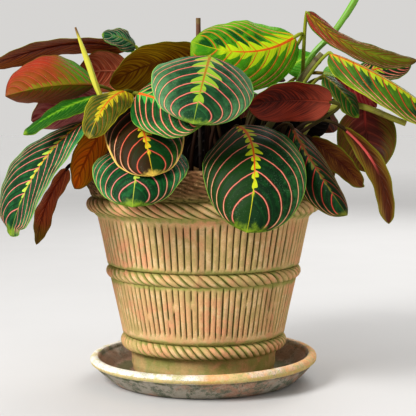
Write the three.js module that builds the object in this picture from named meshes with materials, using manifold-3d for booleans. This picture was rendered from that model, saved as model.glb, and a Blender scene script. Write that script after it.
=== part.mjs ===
// A potted prayer plant (maranta) in a fluted terracotta pot on a terracotta saucer.
// Millimetres, +Z up. The origin is the centre of the saucer's flat underside, and the plant's
// showy side faces -Y. The saucer carries the pot, the pot holds the soil, and each leaf is one
// blade with its own stalk that stands in a hole in the soil.
import * as THREE from "three";
import { mergeVertices } from "three/addons/utils/BufferGeometryUtils.js";
import Module from "manifold-3d";

const wasm = await Module();
wasm.setup();

// Saucer
const SAUCER_BASE_R = 71;
const SAUCER_RIM_R = 88.5;
const SAUCER_H = 21;
const SAUCER_FLOOR = 6;
const SAUCER_LIP = 6.5;
const SAUCER_WARP = 1.5; // the hand-thrown rim stands this much higher at +X than at its middle
const SAUCER_SIDES = 40;

// Pot
const SEAT_GAP = 0.3;
const POT_BOTTOM = SAUCER_FLOOR + SEAT_GAP;
const FOOT_R = 55;
const RIM_Z = 166;
const RIM_R = 92.5;
const FOOT_FLARE = 1.5; // the foot widens by this much from the bottom to the low rope
const FOOT_BEVEL = 0.8;
const RIM_BEVEL = 2;
const WALL = 7;
const POT_FLOOR = 9;
const COVE = { inset: 4, height: 6 }; // the sloped corner between the floor and the wall inside
const DRAIN = { r: 7, sides: 12 };
const CAVITY_SIDES = 30;
const LOW_ROPE = { z: 31.5, ring: 59.4, tube: 5.4 };
const MIDDLE_ROPE = { z: 86, ring: 70.8, tube: 4.8 };
const RIM_ROPE = { z: 137.5, ring: 84.6, tube: 6 };
const BODY_LOW = { z: 38, r: 63.2 };
const BODY_HIGH = { z: 130.5, r: 82.6 };
const NECK = { z: 144.5, r: 87 };
const NECK_STEP = 1; // the collar's first row of ribs stands this far above the neck
const COLLAR_SLOPE = 0.25; // how fast the inside of the collar widens
const FLUTES = 96;
const FLUTE_DEPTH = 1.5;
const FLUTE_MARGIN = 2.4; // the flutes stop this far short of a rope
const STRANDS = 48;
const STRAND_HEIGHT = 1.2;
const COLLAR_RELIEF = 0.8;

// Soil
const SOIL_Z = 150;
const SOIL_DOME = 5;
const DOME_RINGS = [0.8, 0.45]; // rings of the domed top, in shares of its radius
const SOIL_GAP = 0.3;

// Leaves
const BLADE_THICKNESS = 0.9;
const LONG_LEAF = 61; // a blade at least this long takes more steps from base to tip
const BLADE_STEPS = { long: 8, short: 6 };
const WIDE_LEAF = 31; // a blade at least this wide takes more columns of faces on each half
const BLADE_RIBS = { wide: 2, narrow: 1 };
const TIP_POINT = 0.04; // how far the drip tip runs past the blade's round end, in blade lengths
const TIP_SHARPNESS = 18;
const OUTLINE_POWER = 0.74; // 1 gives a pointed ellipse, and less gives fuller shoulders
const STALK_SIDES = 5;
const STALK_STEPS = 4;
const STALK_R = { root: 1.7, blade: 1.1, midrib: 0.75 };
const STALK_DEPTH = 8;
const STALK_FREE_Z = 158; // the stalks stand upright up to here, clear of the soil
const MIDRIB_SHARE = 0.12; // the stalk runs on below the blade for this share of its length
const HOLE_GAP = 0.5;

const TONES = {
  dark: { color: 0x1f4a2c, roughness: 0.5 },
  olive: { color: 0x5a4a22, roughness: 0.5 },
  bright: { color: 0x5f9a1e, roughness: 0.5 },
  copper: { color: 0xa8452a, roughness: 0.5 },
  under: { color: 0x5e2320, roughness: 0.55 },
  mauve: { color: 0x7a4350, roughness: 0.55 },
};

// Each leaf has the base and tip of its blade, the way its upper face looks, its width, and where
// its stalk stands in the soil. arch lifts the middle of the midrib towards the upper face, lead
// moves that lift towards the base, and sway bows the midrib sideways. fold and curl turn the
// blade's [left, right] halves, in degrees, with left as seen with the tip down. ovate widens the
// base and narrows the tip. wave and phase ripple the margins. rise and reach say how far the stalk
// keeps upright and how far it follows the midrib's line, in shares of its span.
const LEAVES = {
  front_centre: {
    base: [25, -48, 197], tip: [30, -117, 128], face: [0, -1, 0.5], width: 74, arch: 19,
    sway: -8, curl: [-30, -30], ovate: -0.1, root: [14, -34], tone: "dark",
  },
  front_low_left: {
    base: [-40, -59, 186], tip: [-47, -118, 145], face: [-0.1, -1, 0.9], width: 70, arch: 10,
    curl: [-30, -30], root: [-24, -36], tone: "dark",
  },
  olive_half: {
    base: [-49, -57, 212], tip: [-34, -110, 165], face: [0.15, -1, 0.4], width: 57, arch: 6,
    curl: [-40, -15], root: [-34, -30], tone: "olive",
  },
  mint_left: {
    base: [-46, -75, 220], tip: [0, -118, 200], face: [-0.3, -1, 0.6], width: 49, arch: 5,
    root: [-14, -28], tone: "dark",
  },
  centre_top: {
    base: [5, -84, 245], tip: [-6, -126, 200], face: [0.1, -1, 0.8], width: 72, arch: 6,
    root: [2, -50], rise: 0.3, reach: 0.1, tone: "dark",
  },
  bright_top: {
    base: [67, -44, 262], tip: [-6, -66, 256], face: [0.05, -1, 0.5], width: 56, arch: 3,
    sway: -12, fold: [4, -22], ovate: -0.1, root: [26, -26], tone: "bright",
  },
  red_back_centre: {
    base: [91, -70, 214], tip: [33, -82, 212], face: [0, 0.8, 0.6], width: 36, arch: 4,
    root: [46, -45], tone: "under",
  },
  right_fold: {
    base: [64, -63, 196], tip: [99, -91, 137], face: [-0.5, -1, 0.3], width: 41, arch: 6,
    fold: [0, -66], root: [38, -46], tone: "dark",
  },
  brown_split: {
    base: [80, -31, 188], tip: [119, -34, 153], face: [0.3, 0.8, 0.5], width: 21, arch: 3,
    root: [56, -28], tone: "under",
  },
  hang_right: {
    base: [103, -48, 195], tip: [134, -62, 129], face: [0.5, 0.6, 0.3], width: 19, arch: 5,
    sway: 7, ovate: -0.15, root: [58, -40], rise: 0.8, tone: "under",
  },
  round_right: {
    base: [123, -8, 211], tip: [126, -20, 163], face: [0.1, 0.9, 0.3], width: 46, arch: 5,
    root: [56, -4], tone: "under",
  },
  dark_under: {
    base: [48, -15, 197], tip: [95, -17, 203], face: [0, 1, 0.4], width: 38, arch: 3,
    root: [34, -20], tone: "under",
  },
  roll_right: {
    base: [76, -42, 280], tip: [157, -27, 246], face: [0.1, -1, 0.7], width: 19, arch: -3,
    sway: 10, rise: 0.7, reach: 0.02, root: [74, -22], tone: "copper",
  },
  green_right: {
    base: [92, -50, 250], tip: [172, -62, 200], face: [-0.2, -0.9, 0.6], width: 38, arch: 9,
    fold: [0, -50], root: [50, -53], reach: 0.05, tone: "bright",
  },
  long_left: {
    base: [-60, 5, 257], tip: [-166, -10, 243], face: [0.1, 0.5, 1], width: 28, arch: 10,
    lead: 0.4, root: [-18, 6], tone: "under",
  },
  copper_left: {
    base: [-80, -40, 227], tip: [-140, -60, 219], face: [0, -1, 0.5], width: 58, arch: 6,
    fold: [0, -85], root: [-40, -14], tone: "copper",
  },
  mauve_left: {
    base: [-79, -16, 220], tip: [-128, -24, 202], face: [0, 0.9, 0.6], width: 34, arch: 4,
    root: [-48, -2], tone: "mauve",
  },
  green_edge_left: {
    base: [-76, -44, 219], tip: [-128, -60, 192], face: [0, -0.6, 1], width: 20, arch: 4,
    root: [-50, -22], tone: "bright",
  },
  big_left: {
    base: [-88, -36, 200], tip: [-138, -64, 121], face: [-0.6, -0.8, 0.35], width: 82, arch: 12,
    fold: [-5, 35], ovate: -0.15, root: [-56, -14], tone: "dark",
  },
  narrow_left: {
    base: [-104, -16, 165], tip: [-127, -20, 109], face: [-0.9, 0.5, 0.3], width: 24, arch: 5,
    root: [-62, -4], tone: "under",
  },
  orange_left: {
    base: [-68, -42, 204], tip: [-91, -72, 154], face: [-0.4, 0.9, 0.2], width: 25, arch: 5,
    root: [-44, -34], tone: "copper",
  },
  lime_curl: {
    base: [-56, -60, 222], tip: [-78, -93, 190], face: [-0.3, -1, 0.5], width: 30, arch: 8,
    root: [-32, -20], tone: "bright",
  },
  mauve_back: {
    base: [-59, 18, 240], tip: [-98, 14, 238], face: [0, 0.9, 0.5], width: 38, arch: 4,
    root: [-34, 10], tone: "mauve",
  },
  olive_back: {
    base: [2, -20, 248], tip: [-68, -30, 230], face: [0, 0.7, 0.8], width: 50, arch: 8,
    root: [2, -10], tone: "olive",
  },
  curl_back: {
    base: [-52, -4, 258], tip: [-76, -14, 266], face: [0.2, -0.8, 0.5], width: 19, arch: 4,
    root: [-34, -3], rise: 0.6, reach: 0.15, tone: "dark",
  },
  green_gap: {
    base: [64, 2, 240], tip: [86, 6, 252], face: [-0.2, -0.8, 0.5], width: 26, arch: 3,
    root: [28, -8], tone: "bright",
  },
  blade_right: {
    base: [89, -44, 233], tip: [112, -53, 204], face: [0.3, -0.5, 0.5], width: 22, arch: 3,
    root: [52, -38], reach: 0.1, tone: "bright",
  },
  pale_right: {
    base: [92, 2, 238], tip: [122, 4, 226], face: [0.1, -0.7, 0.6], width: 30, arch: 3,
    root: [40, 12], tone: "bright",
  },
  pink_right: {
    base: [98, -22, 232], tip: [128, -34, 212], face: [0, 0.8, 0.6], width: 24, arch: 5,
    root: [60, 4], tone: "mauve",
  },
  dark_back_right: {
    base: [120, 22, 236], tip: [162, 16, 246], face: [0, -0.8, 0.5], width: 26, arch: 4,
    root: [54, 12], tone: "dark",
  },
  crown_centre: {
    base: [18, -6, 230], tip: [58, -4, 240], face: [0, 0.1, 1], width: 34, arch: 5,
    root: [18, -2], tone: "bright",
  },
  inner_centre: {
    base: [4, 15, 216], tip: [6, 24, 163], face: [0, 1, 0.3], width: 54, arch: 3,
    root: [2, 12], tone: "under",
  },
  inner_left: {
    base: [-28, 22, 206], tip: [-35, 32, 160], face: [-0.2, 1, 0.3], width: 42, arch: 3,
    root: [-26, 18], tone: "under",
  },
  inner_right: {
    base: [39, 20, 206], tip: [46, 29, 160], face: [0.1, 1, 0.3], width: 38, arch: 3,
    root: [30, 16], tone: "under",
  },
  crown_right: {
    base: [14, 10, 244], tip: [62, 42, 234], face: [0.2, 0.1, 1], width: 48, arch: 7,
    root: [12, 4], tone: "dark",
  },
  crown_left: {
    base: [-10, 18, 244], tip: [-50, 56, 230], face: [-0.2, 0.3, 1], width: 46, arch: 7,
    root: [-10, 4], tone: "dark",
  },
  upper_back_right: {
    base: [52, 42, 224], tip: [108, 76, 194], face: [0.3, 0.4, 1], width: 62, arch: 10,
    curl: [-30, -30], root: [37, 38], tone: "dark",
  },
  upper_back_centre: {
    base: [16, 50, 232], tip: [24, 122, 200], face: [0.1, 0.5, 1], width: 66, arch: 11,
    curl: [-30, -30], root: [8, 36], tone: "bright",
  },
  upper_back_left: {
    base: [-30, 54, 222], tip: [-64, 112, 188], face: [-0.2, 0.5, 1], width: 60, arch: 10,
    curl: [-30, -30], root: [-20, 42], tone: "dark",
  },
  side_back_left: {
    base: [-64, 30, 214], tip: [-108, 66, 184], face: [-0.4, 0.4, 1], width: 50, arch: 8,
    root: [-62, 28], tone: "dark",
  },
  low_back_right: {
    base: [70, 42, 190], tip: [92, 84, 136], face: [0.5, 0.8, 0.6], width: 60, arch: 12,
    curl: [-30, -30], root: [52, 36], tone: "dark",
  },
  low_back_centre: {
    base: [26, 68, 194], tip: [34, 122, 134], face: [0.1, 1, 0.6], width: 66, arch: 14,
    curl: [-30, -30], root: [22, 44], tone: "dark",
  },
  low_back_left: {
    base: [-22, 68, 188], tip: [-34, 120, 130], face: [-0.1, 1, 0.6], width: 62, arch: 13,
    curl: [-30, -30], root: [-14, 50], tone: "olive",
  },
  low_side_left: {
    base: [-62, 44, 188], tip: [-88, 80, 140], face: [-0.6, 0.8, 0.6], width: 52, arch: 11,
    curl: [-30, -30], root: [-42, 42], tone: "dark",
  },
  low_side_right: {
    base: [68, 26, 188], tip: [101, 38, 140], face: [1, 0.35, 0.6], width: 46, arch: 10,
    curl: [-30, -30], root: [66, 24], tone: "dark",
  },
};

const LEAF_DEFAULTS = {
  lead: 0, sway: 0, fold: [0, 0], curl: [-20, -20], ovate: 0.08, wave: 1.5, phase: 0,
  rise: 0.45, reach: 0.35,
};

// Bare stems: the points that each runs through above the soil, and its thickness at each.
const STEMS = {
  new_leaf_left: {
    root: [-42, -24], points: [[-64, -44, 200], [-75, -50, 220], [-84, -52, 245], [-92, -54, 268]],
    radii: [1.7, 1.7, 2, 2.3, 0.7], color: 0xb4b020,
  },
  new_leaf_right: {
    root: [46, 8],
    points: [[66, -6, 215], [83, -12, 251], [98, -15, 267], [114, -19, 292], [124, -22, 314]],
    radii: [2, 2, 2.2, 2.4, 2.6, 0.8], color: 0x7ca02c,
  },
  cane_right: {
    root: [24, -38], points: [[44, -37, 190], [72, -35, 230], [88, -37, 250]],
    radii: [2.6, 2.6, 2.9, 2.9], color: 0x6a5030,
  },
  cut_stalk_right: {
    root: [60, -20], points: [[84, -32, 204], [108, -36, 213], [148, -48, 199]],
    radii: [2, 2.2, 2.4, 2.2], color: 0x8c8a34,
  },
  dry_stub_back: {
    root: [-2, 4], points: [[-3, -6, 220], [-4, -10, 279]],
    radii: [1.6, 1.6, 1.8], color: 0x5a3a20,
  },
};

const rad = (degrees) => (degrees * Math.PI) / 180;
const vec = (a) => new THREE.Vector3(...a);

// A closed triangle list as a manifold-3d solid. Triangles whose corners fall together are dropped.
function solidOf(points, triangles) {
  const raw = new THREE.BufferGeometry();
  raw.setAttribute("position", new THREE.Float32BufferAttribute(points.flat(), 3));
  raw.setIndex(triangles.flat());
  const merged = mergeVertices(raw, 1e-4);
  const index = merged.index.array;
  const kept = [];
  for (let i = 0; i < index.length; i += 3) {
    const [a, b, c] = [index[i], index[i + 1], index[i + 2]];
    if (a !== b && b !== c && c !== a) kept.push(a, b, c);
  }
  const mesh = new wasm.Mesh({
    numProp: 3,
    vertProperties: merged.attributes.position.array,
    triVerts: new Uint32Array(kept),
  });
  return new wasm.Manifold(mesh);
}

function solidOfGeometry(geometry) {
  const g = geometry.index ? geometry.toNonIndexed() : geometry;
  const p = g.getAttribute("position");
  const points = [];
  const triangles = [];
  for (let i = 0; i < p.count; i++) points.push([p.getX(i), p.getY(i), p.getZ(i)]);
  for (let i = 0; i < p.count; i += 3) triangles.push([i, i + 1, i + 2]);
  return solidOf(points, triangles);
}

function meshOf(name, solid, material) {
  const { vertProperties, triVerts } = solid.getMesh();
  const g = new THREE.BufferGeometry();
  g.setAttribute("position", new THREE.BufferAttribute(new Float32Array(vertProperties), 3));
  g.setIndex(new THREE.BufferAttribute(new Uint32Array(triVerts), 1));
  g.computeVertexNormals();
  const mesh = new THREE.Mesh(g, new THREE.MeshStandardMaterial({ metalness: 0, ...material }));
  mesh.name = name;
  return mesh;
}

// Rings of points, each anticlockwise round the way that the rings advance, skinned into a closed
// solid with a fan at each end. A ring may have twice or half as many points as the next.
function skinRings(rings) {
  const points = rings.flat();
  const triangles = [];
  const start = [0];
  for (const ring of rings) start.push(start.at(-1) + ring.length);
  const corner = (k, j) => start[k] + (j % rings[k].length);
  for (let k = 0; k + 1 < rings.length; k++) {
    const coarse = Math.min(rings[k].length, rings[k + 1].length);
    const [low, high] = [rings[k].length / coarse, rings[k + 1].length / coarse];
    for (let j = 0; j < coarse; j++) {
      const [a, b] = [corner(k, j * low), corner(k, (j + 1) * low)];
      const [d, c] = [corner(k + 1, j * high), corner(k + 1, (j + 1) * high)];
      if (low > high) {
        const middle = a + 1;
        triangles.push([a, middle, d], [middle, c, d], [middle, b, c]);
      } else if (high > low) {
        const middle = d + 1;
        triangles.push([a, middle, d], [a, b, middle], [b, c, middle]);
      } else {
        triangles.push([a, b, c], [a, c, d]);
      }
    }
  }
  const centre = (ring) => [0, 1, 2].map((i) => ring.reduce((sum, p) => sum + p[i], 0) / ring.length);
  const first = points.push(centre(rings[0])) - 1;
  const last = points.push(centre(rings.at(-1))) - 1;
  const end = rings.length - 1;
  for (let j = 0; j < rings[0].length; j++) triangles.push([first, corner(0, j + 1), j]);
  for (let j = 0; j < rings[end].length; j++) {
    triangles.push([last, corner(end, j), corner(end, j + 1)]);
  }
  return solidOf(points, triangles);
}

// A solid of revolution about +Z from [radius, height] pairs that start and end on the axis.
function turned(profile, sides) {
  const g = new THREE.LatheGeometry(profile.map(([r, z]) => new THREE.Vector2(r, z)), sides);
  return g.rotateX(Math.PI / 2);
}

function saucerSolid() {
  const profile = [
    [0, 0],
    [SAUCER_BASE_R, 0],
    [SAUCER_BASE_R + 3.5, 2],
    [SAUCER_RIM_R - 1, SAUCER_H - 6],
    [SAUCER_RIM_R, SAUCER_H - 3],
    [SAUCER_RIM_R - 2, SAUCER_H - 0.3],
    [SAUCER_RIM_R - 4.5, SAUCER_H],
    [SAUCER_RIM_R - SAUCER_LIP, SAUCER_H - 1.5],
    [SAUCER_BASE_R + 3, SAUCER_FLOOR + 2.5],
    [SAUCER_BASE_R - 1, SAUCER_FLOOR],
    [0, SAUCER_FLOOR],
  ];
  const g = turned(profile, SAUCER_SIDES);
  const p = g.getAttribute("position");
  for (let i = 0; i < p.count; i++) {
    const lift = Math.max(0, p.getZ(i) - SAUCER_FLOOR) / (SAUCER_H - SAUCER_FLOOR);
    p.setZ(i, p.getZ(i) + SAUCER_WARP * lift * (p.getX(i) / SAUCER_RIM_R));
  }
  return solidOfGeometry(g);
}

// The pot's wall is straight from the low rope to the rim rope.
function bodyRadius(z) {
  const share = (z - BODY_LOW.z) / (BODY_HIGH.z - BODY_LOW.z);
  return BODY_LOW.r + (BODY_HIGH.r - BODY_LOW.r) * share;
}

// A row of the pot is a ring of points at one height, with two points for each rope strand.
const plainRow = (z, r) => ({ z, columns: 2 * STRANDS, radius: () => r });

// A row of the wall where every second column sinks into a flute.
const flutedRow = (z) => ({
  z,
  columns: 2 * FLUTES,
  radius: (column) => bodyRadius(z) - ((column + 1) % 2) * FLUTE_DEPTH,
});

// A twisted rope: a half-round ring whose strands step half a strand sideways from row to row.
function ropeRows({ z, ring, tube }) {
  return [-50, 0, 50].map((lean, row) => ({
    z: z + tube * Math.sin(rad(lean)),
    columns: 2 * STRANDS,
    radius: (column) => ring + tube * Math.cos(rad(lean)) - ((column + row) % 2) * STRAND_HEIGHT,
  }));
}

// The flared collar above the rim rope, ribbed aslant like plaited cane.
function collarRow(z, r, row) {
  return { z, columns: 2 * STRANDS, radius: (column) => r - ((column + row) % 2) * COLLAR_RELIEF };
}

function potSolid() {
  const under = ({ z, tube }) => z - tube - FLUTE_MARGIN;
  const over = ({ z, tube }) => z + tube + FLUTE_MARGIN;
  const rows = [
    plainRow(POT_BOTTOM, FOOT_R - FOOT_BEVEL),
    plainRow(LOW_ROPE.z - LOW_ROPE.tube, FOOT_R + FOOT_FLARE),
    ...ropeRows(LOW_ROPE),
    flutedRow(over(LOW_ROPE)),
    flutedRow(under(MIDDLE_ROPE)),
    ...ropeRows(MIDDLE_ROPE),
    flutedRow(over(MIDDLE_ROPE)),
    flutedRow(under(RIM_ROPE)),
    ...ropeRows(RIM_ROPE),
    collarRow(NECK.z + NECK_STEP, NECK.r, 0),
    collarRow(RIM_Z - RIM_BEVEL, RIM_R, 1),
    plainRow(RIM_Z, RIM_R - RIM_BEVEL),
  ];
  const rings = rows.map(({ z, columns, radius }) => {
    const ring = [];
    for (let j = 0; j < columns; j++) {
      const a = (j / columns) * 2 * Math.PI;
      ring.push([radius(j) * Math.cos(a), radius(j) * Math.sin(a), z]);
    }
    return ring;
  });
  const cavity = solidOfGeometry(turned(cavityProfile(0, RIM_Z + WALL), CAVITY_SIDES));
  const drain = new THREE.CylinderGeometry(DRAIN.r, DRAIN.r, 4 * POT_FLOOR, DRAIN.sides);
  drain.rotateX(Math.PI / 2).translate(0, 0, POT_BOTTOM);
  return skinRings(rings).subtract(cavity).subtract(solidOfGeometry(drain));
}

// The inside of the pot, taken in by a gap for the soil that fills it.
function cavityProfile(gap, top) {
  const floor = POT_BOTTOM + POT_FLOOR;
  const outside = (z) => (z < NECK.z ? bodyRadius(z) : NECK.r + (z - NECK.z) * COLLAR_SLOPE);
  const wall = (z) => outside(z) - WALL - gap;
  return [
    [0, floor + gap],
    [wall(floor) - COVE.inset, floor + gap],
    [wall(floor + COVE.height), floor + COVE.height],
    [wall(NECK.z), NECK.z],
    [wall(top), top],
    [0, top],
  ];
}

// The soil fills the pot and has a plain hole for every stalk.
function soilSolid(roots) {
  const wall = cavityProfile(SOIL_GAP, SOIL_Z);
  const edge = wall.at(-2)[0];
  const dome = DOME_RINGS.map((share) => [edge * share, SOIL_Z + SOIL_DOME * (1 - share ** 2)]);
  const profile = [...wall.slice(0, -1), ...dome, [0, SOIL_Z + SOIL_DOME]];
  let soil = solidOfGeometry(turned(profile, CAVITY_SIDES));
  for (const { root, radius } of roots) {
    const bottom = SOIL_Z - STALK_DEPTH - HOLE_GAP;
    const height = 2 * (STALK_FREE_Z - bottom);
    const hole = new THREE.CylinderGeometry(radius + HOLE_GAP, radius + HOLE_GAP, height, STALK_SIDES);
    hole.rotateX(Math.PI / 2).rotateZ(Math.PI / 2).translate(root[0], root[1], bottom + height / 2);
    soil = soil.subtract(solidOfGeometry(hole));
  }
  return soil;
}

// A round stem of changing thickness along a list of points.
function stemSolid(points, radii) {
  const rings = [];
  let across = new THREE.Vector3(1, 0, 0);
  points.forEach((point, k) => {
    const ahead = points[Math.min(k + 1, points.length - 1)];
    const behind = points[Math.max(k - 1, 0)];
    const along = ahead.clone().sub(behind).normalize();
    across = across.clone().addScaledVector(along, -across.dot(along)).normalize();
    const other = along.clone().cross(across);
    const ring = [];
    for (let j = 0; j < STALK_SIDES; j++) {
      const a = (j / STALK_SIDES) * 2 * Math.PI;
      const p = point.clone().addScaledVector(across, radii[k] * Math.cos(a));
      ring.push(p.addScaledVector(other, radii[k] * Math.sin(a)).toArray());
    }
    rings.push(ring);
  });
  return skinRings(rings);
}

// The midrib and the frame that the blade is swept along.
function leafFrame(leaf) {
  const base = vec(leaf.base);
  const chord = vec(leaf.tip).sub(base);
  const along = chord.clone().normalize();
  const face = vec(leaf.face).normalize();
  const up = face.addScaledVector(along, -face.dot(along)).normalize();
  const side = along.clone().cross(up);
  const midrib = (s) => {
    const bow = 4 * s * (1 - s);
    const lift = leaf.arch * bow * (1 + leaf.lead * (1 - 2 * s));
    const point = base.clone().addScaledVector(chord, s);
    return point.addScaledVector(up, lift).addScaledVector(side, leaf.sway * bow);
  };
  const tangent = (s) => midrib(s + 0.01).sub(midrib(s - 0.01)).normalize();
  return { up, midrib, tangent, length: chord.length() };
}

// A point of the blade's middle surface and the offset to its upper face: u runs from base to tip
// and t from -1 to 1 across. Each half of the cross-section is an arc that leaves the midrib at
// the fold angle and turns by the curl angle.
function bladePoint(leaf, frame, u, t) {
  const s = (1 - Math.cos(Math.PI * u)) / 2 + TIP_POINT * u ** TIP_SHARPNESS;
  const tangent = frame.tangent(s);
  const normal = frame.up.clone().addScaledVector(tangent, -frame.up.dot(tangent)).normalize();
  const across = tangent.clone().cross(normal);
  const outline = Math.sin(Math.PI * u) ** OUTLINE_POWER * (1 + leaf.ovate * Math.cos(Math.PI * u));
  const half = (leaf.width / 2) * outline;
  const hand = t > 0 ? 1 : -1;
  const fold = rad(leaf.fold[t > 0 ? 0 : 1]);
  const curl = rad(leaf.curl[t > 0 ? 0 : 1]);
  const a = Math.abs(t);
  const x = (Math.sin(fold + curl * a) - Math.sin(fold)) / curl;
  const z = (Math.cos(fold) - Math.cos(fold + curl * a)) / curl;
  const ripple = Math.sin(4 * Math.PI * u + leaf.phase + (t > 0 ? 2 : 0));
  const wave = leaf.wave * ripple * a * a * Math.sin(Math.PI * u);
  const point = frame.midrib(s).addScaledVector(across, half * x * hand);
  point.addScaledVector(normal, half * z + wave);
  const facing = (angle, side) =>
    normal.clone().multiplyScalar(Math.cos(angle)).addScaledVector(across, -side * Math.sin(angle));
  if (t !== 0) return { point, offset: facing(fold + curl * a, hand) };
  const left = facing(rad(leaf.fold[0]), 1);
  const right = facing(rad(leaf.fold[1]), -1);
  return { point, offset: left.clone().add(right).divideScalar(1 + left.dot(right)) };
}

// The blade: the same grid of triangles on both faces, closed round the margin.
function bladeSolid(leaf, frame) {
  const steps = frame.length < LONG_LEAF ? BLADE_STEPS.short : BLADE_STEPS.long;
  const ribs = leaf.width < WIDE_LEAF ? BLADE_RIBS.narrow : BLADE_RIBS.wide;
  const columns = 2 * ribs;
  const points = [];
  for (const side of [0.5, -0.5]) {
    for (let i = 0; i <= steps; i++) {
      for (let j = 0; j <= columns; j++) {
        const t = i === 0 || i === steps ? 0 : (j - ribs) / ribs;
        const { point, offset } = bladePoint(leaf, frame, i / steps, t);
        points.push(point.addScaledVector(offset, side * BLADE_THICKNESS).toArray());
      }
    }
  }
  const lower = (steps + 1) * (columns + 1);
  const at = (i, j) => i * (columns + 1) + j;
  const triangles = [];
  for (let i = 0; i < steps; i++) {
    for (let j = 0; j < columns; j++) {
      const [a, b, c, d] = [at(i, j), at(i + 1, j), at(i + 1, j + 1), at(i, j + 1)];
      triangles.push([a, c, b], [a, d, c]);
      triangles.push([a + lower, b + lower, c + lower], [a + lower, c + lower, d + lower]);
    }
    const edge = (a, b) => triangles.push([a, b, b + lower], [a, b + lower, a + lower]);
    edge(at(i, 0), at(i + 1, 0));
    edge(at(i + 1, columns), at(i, columns));
  }
  return solidOf(points, triangles);
}

// The stalk stands upright in the soil, bends over to meet the blade along its midrib and runs on
// below it.
function stalkSolid(leaf, frame) {
  const [x, y] = leaf.root;
  const foot = new THREE.Vector3(x, y, SOIL_Z - STALK_DEPTH);
  const start = new THREE.Vector3(x, y, STALK_FREE_Z);
  const end = frame.midrib(0);
  const span = end.distanceTo(start);
  const curve = new THREE.CubicBezierCurve3(
    start,
    start.clone().setZ(STALK_FREE_Z + leaf.rise * span),
    end.clone().addScaledVector(frame.tangent(0), -leaf.reach * span),
    end,
  );
  const points = [foot, ...curve.getPoints(STALK_STEPS)];
  const taper = (_, k) => THREE.MathUtils.lerp(STALK_R.root, STALK_R.blade, k / points.length);
  const radii = points.map(taper);
  return stemSolid([...points, frame.midrib(MIDRIB_SHARE)], [...radii, STALK_R.midrib]);
}

function leafSolid(row) {
  const leaf = { ...LEAF_DEFAULTS, ...row };
  const frame = leafFrame(leaf);
  return bladeSolid(leaf, frame).add(stalkSolid(leaf, frame));
}

function bareStemSolid({ root, points, radii }) {
  const foot = vec([...root, SOIL_Z - STALK_DEPTH]);
  const curve = new THREE.CatmullRomCurve3([vec([...root, STALK_FREE_Z]), ...points.map(vec)]);
  const path = [foot, ...curve.getPoints(2 * points.length)];
  const thickness = path.map((_, k) => {
    const place = (Math.max(0, k - 1) / (path.length - 2)) * (radii.length - 1);
    const low = Math.min(Math.floor(place), radii.length - 2);
    return THREE.MathUtils.lerp(radii[low], radii[low + 1], place - low);
  });
  return stemSolid(path, thickness);
}

const plant = new THREE.Group();
plant.add(meshOf("saucer", saucerSolid(), { color: 0xa08c74, roughness: 0.9 }));
plant.add(meshOf("pot", potSolid(), { color: 0xb08a60, roughness: 0.9 }));

const roots = [
  ...Object.values(LEAVES).map(({ root }) => ({ root, radius: STALK_R.root })),
  ...Object.values(STEMS).map(({ root, radii }) => ({ root, radius: radii[0] })),
];
plant.add(meshOf("soil", soilSolid(roots), { color: 0x2a1d14, roughness: 1 }));

for (const [name, leaf] of Object.entries(LEAVES)) {
  plant.add(meshOf(`leaf_${name}`, leafSolid(leaf), TONES[leaf.tone]));
}
for (const [name, stem] of Object.entries(STEMS)) {
  plant.add(meshOf(`stem_${name}`, bareStemSolid(stem), { color: stem.color, roughness: 0.5 }));
}

export default plant;
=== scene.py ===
"""A potted prayer plant (maranta) in a fluted, rope-banded terracotta pot on its saucer.

Lengths in the tables are millimetres, and every Blender object is in metres in the frame of the
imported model. Each leaf, stem, the soil, the pot and the saucer is one fine piece that stands for
its own solid. The blades are swept surfaces, and their veins, midrib band and margin are painted
by shader nodes from where a point lies on its leaf.
"""

import math
from functools import partialmethod
from types import SimpleNamespace

import bpy
import numpy as np
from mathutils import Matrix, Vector, noise


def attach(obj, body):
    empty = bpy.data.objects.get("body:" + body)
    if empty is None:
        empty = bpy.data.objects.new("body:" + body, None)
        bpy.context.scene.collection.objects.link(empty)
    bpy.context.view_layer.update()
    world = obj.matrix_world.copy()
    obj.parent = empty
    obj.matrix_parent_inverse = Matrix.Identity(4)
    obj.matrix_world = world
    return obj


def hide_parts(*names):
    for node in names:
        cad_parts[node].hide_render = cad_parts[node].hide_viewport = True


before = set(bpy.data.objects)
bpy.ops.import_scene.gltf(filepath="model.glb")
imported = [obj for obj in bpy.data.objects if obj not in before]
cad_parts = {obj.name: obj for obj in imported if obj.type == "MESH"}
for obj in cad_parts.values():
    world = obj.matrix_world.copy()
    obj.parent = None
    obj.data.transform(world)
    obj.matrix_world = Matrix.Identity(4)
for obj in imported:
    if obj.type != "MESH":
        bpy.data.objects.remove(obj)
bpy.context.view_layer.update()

MM = 0.001
SEED = 20

# Saucer
SAUCER_BASE_R = 71
SAUCER_RIM_R = 88.5
SAUCER_H = 21
SAUCER_FLOOR = 6
SAUCER_WARP = 1.5
SAUCER_LIP = dict(z=17.4, ring=84.6, tube=3.6, oval=1.06)
SAUCER_COLUMNS = 288
SAUCER_UNEVEN = 0.7  # how far the rim strays from round
SAUCER_PITS = 0.22

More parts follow.
